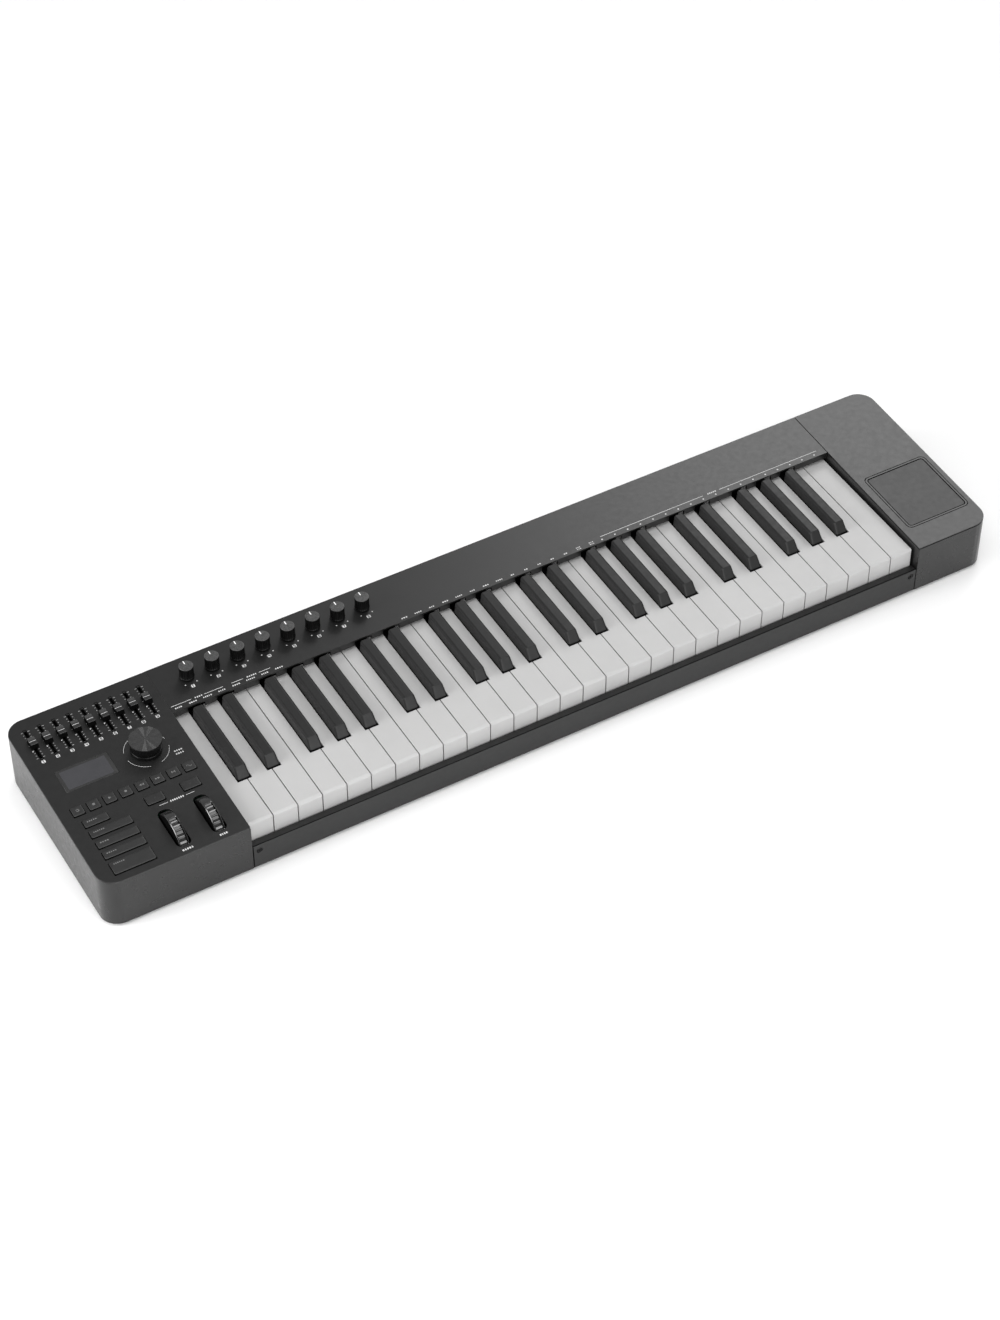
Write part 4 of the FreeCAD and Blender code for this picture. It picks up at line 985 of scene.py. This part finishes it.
def make_legends():
    bm, figures, scales, slot_shade_bands = [bmesh.new() for _ in range(4)]
    slider_legends(bm, figures, scales, slot_shade_bands)
    control_legends(bm, figures)
    strip_legends(bm)
    piece("white_legends", bm, WHITE_PRINT, "chassis")
    piece("legend_figures", figures, DARK_PRINT, "chassis")
    piece("slider_scales", scales, SCALE_PRINT, "chassis")
    piece("slot_shade_rims", slot_shade_bands, PAINTED_SHADE, "chassis")


# ---------------------------------------------------------------- hidden and rear pieces
def extent(bm):
    """Lowest and highest corner of a mesh."""
    places = [vert.co for vert in bm.verts]
    return [Vector([pick(place[axis] for place in places) for axis in range(3)]) for pick in (min, max)]


def joined(solids):
    """Several meshes as one."""
    whole = bmesh.new()
    for solid in solids:
        part = bpy.data.meshes.new("part")
        solid.to_mesh(part)
        solid.free()
        whole.from_mesh(part)
        bpy.data.meshes.remove(part)
    return whole


SHORTEST_BOARD = 59 * MM


def make_boards():
    """Green boards, with dark housings for the controls that are soldered to them."""
    boards, housings = [], []
    for solid in islands(welded("circuit_boards")):
        low, high = extent(solid)
        wide = max(high.x - low.x, high.y - low.y) > SHORTEST_BOARD
        (boards if wide else housings).append(solid)
    rounded("board_plates", joined(boards), lambda a, b: 0.1 * MM, 0.1 * MM, BOARD, "chassis", segments=1,
            slot="circuit_board", replaces=["circuit_boards"])
    rounded("board_housings", joined(housings), lambda a, b: 0.3 * MM, 0.3 * MM, SOCKET, "chassis",
            segments=2, slot="circuit_board")
    # A near-black sheet under each slider slot: painted shade that stands in for the shade inside the slot.
    shade_sheet = bmesh.new()
    for number in range(1, 10):
        place = middle(f"fader_cap_{number}")
        outline = centred_rectangle(place, 3 * MM, 20 * MM, 0.5 * MM)
        opening = centred_rectangle(place, 0.75 * MM, 19 * MM, 0.2 * MM)
        curtain(shade_sheet, outline, opening, lambda y: deck(y) - 2.5 * MM)
    bmesh.ops.recalc_face_normals(shade_sheet, faces=shade_sheet.faces)
    piece("slot_shade_sheets", shade_sheet, PAINTED_SHADE, "chassis")


def curtain(bm, outer, inner, height):
    """A thin sheet with an opening, below the panel."""
    levels_down = (0.0, -0.2 * MM)
    rings = [[bm.verts.new((x, y, height(y) + level)) for x, y in outline]
             for outline in (outer, inner) for level in levels_down]
    for first, second in ((0, 1), (1, 3), (3, 2), (2, 0)):
        for i in range(len(outer)):
            j = (i + 1) % len(outer)
            bm.faces.new([rings[first][i], rings[first][j], rings[second][j], rings[second][i]])


def cross_outline(radius, width, count):
    """Points round a cross-shaped recess, at even angles."""
    points = []
    for i in range(count):
        angle = TAU * i / count
        side, run = sorted((abs(math.cos(angle)), abs(math.sin(angle))))
        reach = min(radius / run, width / 2 / max(side, 1e-6))
        points.append((reach * math.cos(angle), reach * math.sin(angle)))
    return points


SHANK = 1.5 * MM
SCREW_POINTS = 48


def make_screws():
    """Pan-head screws with a cross recess, each along its own axis, from its head inwards."""
    bm = bmesh.new()
    for solid in islands(welded("screws")):
        low, high = extent(solid)
        size = high - low
        solid.free()
        lying = size.y > size.z
        length = size.y if lying else size.z
        from_rear = lying and high.y > 0
        head, thick = size.x / 2, (1.1 if from_rear else 1.4) * MM
        rounds = [(SHANK * 0.5, length), (SHANK * 0.9, length - 0.8 * MM), (SHANK * 0.95, thick),
                  (head, thick), (head, 0.5 * MM), (head * 0.82, 0.08 * MM), (head * 0.7, 0.0)]
        sections = [(circle(radius, SCREW_POINTS), depth) for radius, depth in rounds]
        sections += [(cross_outline(head * 0.6, head * 0.28, SCREW_POINTS), 0.0),
                     (cross_outline(head * 0.5, head * 0.2, SCREW_POINTS), 0.8 * MM)]
        mid_x, mid_y, mid_z = [(start + end) / 2 for start, end in zip(low, high)]
        rings = []
        for outline, depth in sections:
            if lying:
                plane = high.y - depth if from_rear else low.y + depth
                rings.append([(mid_x + x, plane, mid_z + y) for x, y in outline])
            else:
                rings.append([(mid_x + x, mid_y + y, low.z + depth) for x, y in outline])
        loft(bm, rings)
    bmesh.ops.recalc_face_normals(bm, faces=bm.faces)
    shade(bm)
    piece("screw_set", bm, SCREW, "chassis", slot="black_steel", replaces=["screws"])


PIN_CIRCLE = 4.4 * MM


def make_sockets():
    """Socket shells with softened mouths, and the contacts inside them."""
    shells, contacts = [], bmesh.new()
    for solid in islands(welded("rear_sockets")):
        low, high = extent(solid)
        x, z, half = (low.x + high.x) / 2, (low.z + high.z) / 2, (high.z - low.z) / 2
        shells.append(solid)
        data_socket = high.x - low.x > high.z - low.z + 0.3 * MM
        note_socket = half > 6 * MM
        power_inlet = half < 4.4 * MM
        if data_socket:
            pin(contacts, x, z, (3.0 * MM, 1.2 * MM), high.y - 8.5 * MM, high.y - 1.5 * MM)
        elif note_socket:
            for angle in map(math.radians, (0, 45, 90, 135, 180)):
                place = (x + PIN_CIRCLE * math.cos(angle), z + PIN_CIRCLE * math.sin(angle))
                pin(contacts, *place, (0.7 * MM, 0.7 * MM), high.y - 7.9 * MM, high.y - 2.0 * MM)
        elif power_inlet:
            pin(contacts, x, z, (0.9 * MM, 0.9 * MM), high.y - 8.9 * MM, high.y - 1.5 * MM)
        else:
            for depth in (6.0, 11.0):
                pin(contacts, x, z - 2.9 * MM, (0.8 * MM, 0.35 * MM), high.y - (depth + 2) * MM,
                    high.y - depth * MM)
    rounded("socket_shells", joined(shells), lambda a, b: 0.3 * MM, 0.3 * MM, SOCKET, "chassis", segments=2,
            slot="socket_plastic", replaces=["rear_sockets"])
    piece("socket_contacts", contacts, BRASS, "chassis")


def pin(bm, x, z, half, y_low, y_high):
    """A contact with rounded sides, lying along Y."""
    outline = soft_rectangle(grown((x, x), half[0]), grown((z, z), half[1]), min(half) * 0.6, 3)
    tip = soft_rectangle(grown((x, x), half[0] * 0.8), grown((z, z), half[1] * 0.8), min(half) * 0.5, 3)
    loft(bm, [[(px, y, pz) for px, pz in shape]
              for shape, y in ((outline, y_low), (outline, y_high - 0.3 * MM), (tip, y_high))])
    bmesh.ops.recalc_face_normals(bm, faces=bm.faces)


def make_feet():
    rounded("rubber_feet", welded("feet"), lambda a, b: 0.3 * MM, 0.3 * MM, FOOT, "chassis",
            slot="foot_rubber", replaces=["feet"])


PLAIN_NODES = {"keybed_frame": STEEL, "wheel_bracket": STEEL}


make_case()
make_keys()
make_buttons()
for number in range(1, 10):
    make_fader(number)
for number in range(1, 9):
    make_knob(number)
make_encoder()
for name in ("pitch_wheel", "mod_wheel"):
    make_wheel(name)
make_window()
make_legends()
make_boards()
make_screws()
make_sockets()
make_feet()
for name, material in PLAIN_NODES.items():
    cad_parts[name].data.materials.clear()
    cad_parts[name].data.materials.append(material)


# ---------------------------------------------------------------- floor, light and camera
def make_floor():
    bm = bmesh.new()
    bmesh.ops.create_circle(bm, cap_ends=True, segments=96, radius=12)
    mesh = bpy.data.meshes.new("floor")
    bm.to_mesh(mesh)
    bm.free()
    floor = bpy.data.objects.new("floor", mesh)
    mesh.materials.append(FLOOR)
    bpy.context.scene.collection.objects.link(floor)


def area_light(name, place, target, size, power):
    """A soft rectangular lamp that faces a point."""
    data = bpy.data.lights.new(name, "AREA")
    data.shape = "RECTANGLE"
    data.size, data.size_y = size
    data.energy = power
    lamp = bpy.data.objects.new(name, data)
    lamp.location = place
    lamp.rotation_euler = (Vector(target) - Vector(place)).to_track_quat("-Z", "Y").to_euler()
    bpy.context.scene.collection.objects.link(lamp)


def make_lights():
    world = bpy.data.worlds.new("studio")
    world.use_nodes = True
    world.node_tree.nodes["Background"].inputs["Color"].default_value = (1, 1, 1, 1)
    world.node_tree.nodes["Background"].inputs["Strength"].default_value = 0.3
    bpy.context.scene.world = world
    area_light("overhead", (-0.15, -0.6, 2.6), (0, 0, 0), (3.0, 3.0), 52)
    area_light("front_fill", (-0.1, -3.0, 1.0), (0, 0, 0), (2.8, 1.4), 54)
    area_light("rear_card", (2.4, 2.3, 2.6), (0.4, 0, 0), (1.6, 1.6), 40)
    area_light("left_fill", (-2.4, 0.4, 1.0), (-0.4, 0, 0), (1.5, 1.5), 49)
    area_light("near_card", (-1.3, -2.3, 2.5), (0, 0, 0), (0.8, 0.8), 14)


def make_camera():
    data = bpy.data.cameras.new("camera")
    data.lens = 84.03
    data.sensor_width = 36
    data.clip_end = 50
    camera = bpy.data.objects.new("camera", data)
    camera.location = (-0.9942, -1.7002, 1.9828)
    camera.rotation_euler = (math.radians(44.90), 0, math.radians(-29.96))
    bpy.context.scene.collection.objects.link(camera)
    bpy.context.scene.camera = camera


make_floor()
make_lights()
make_camera()
bpy.context.scene.view_settings.view_transform = "Standard"
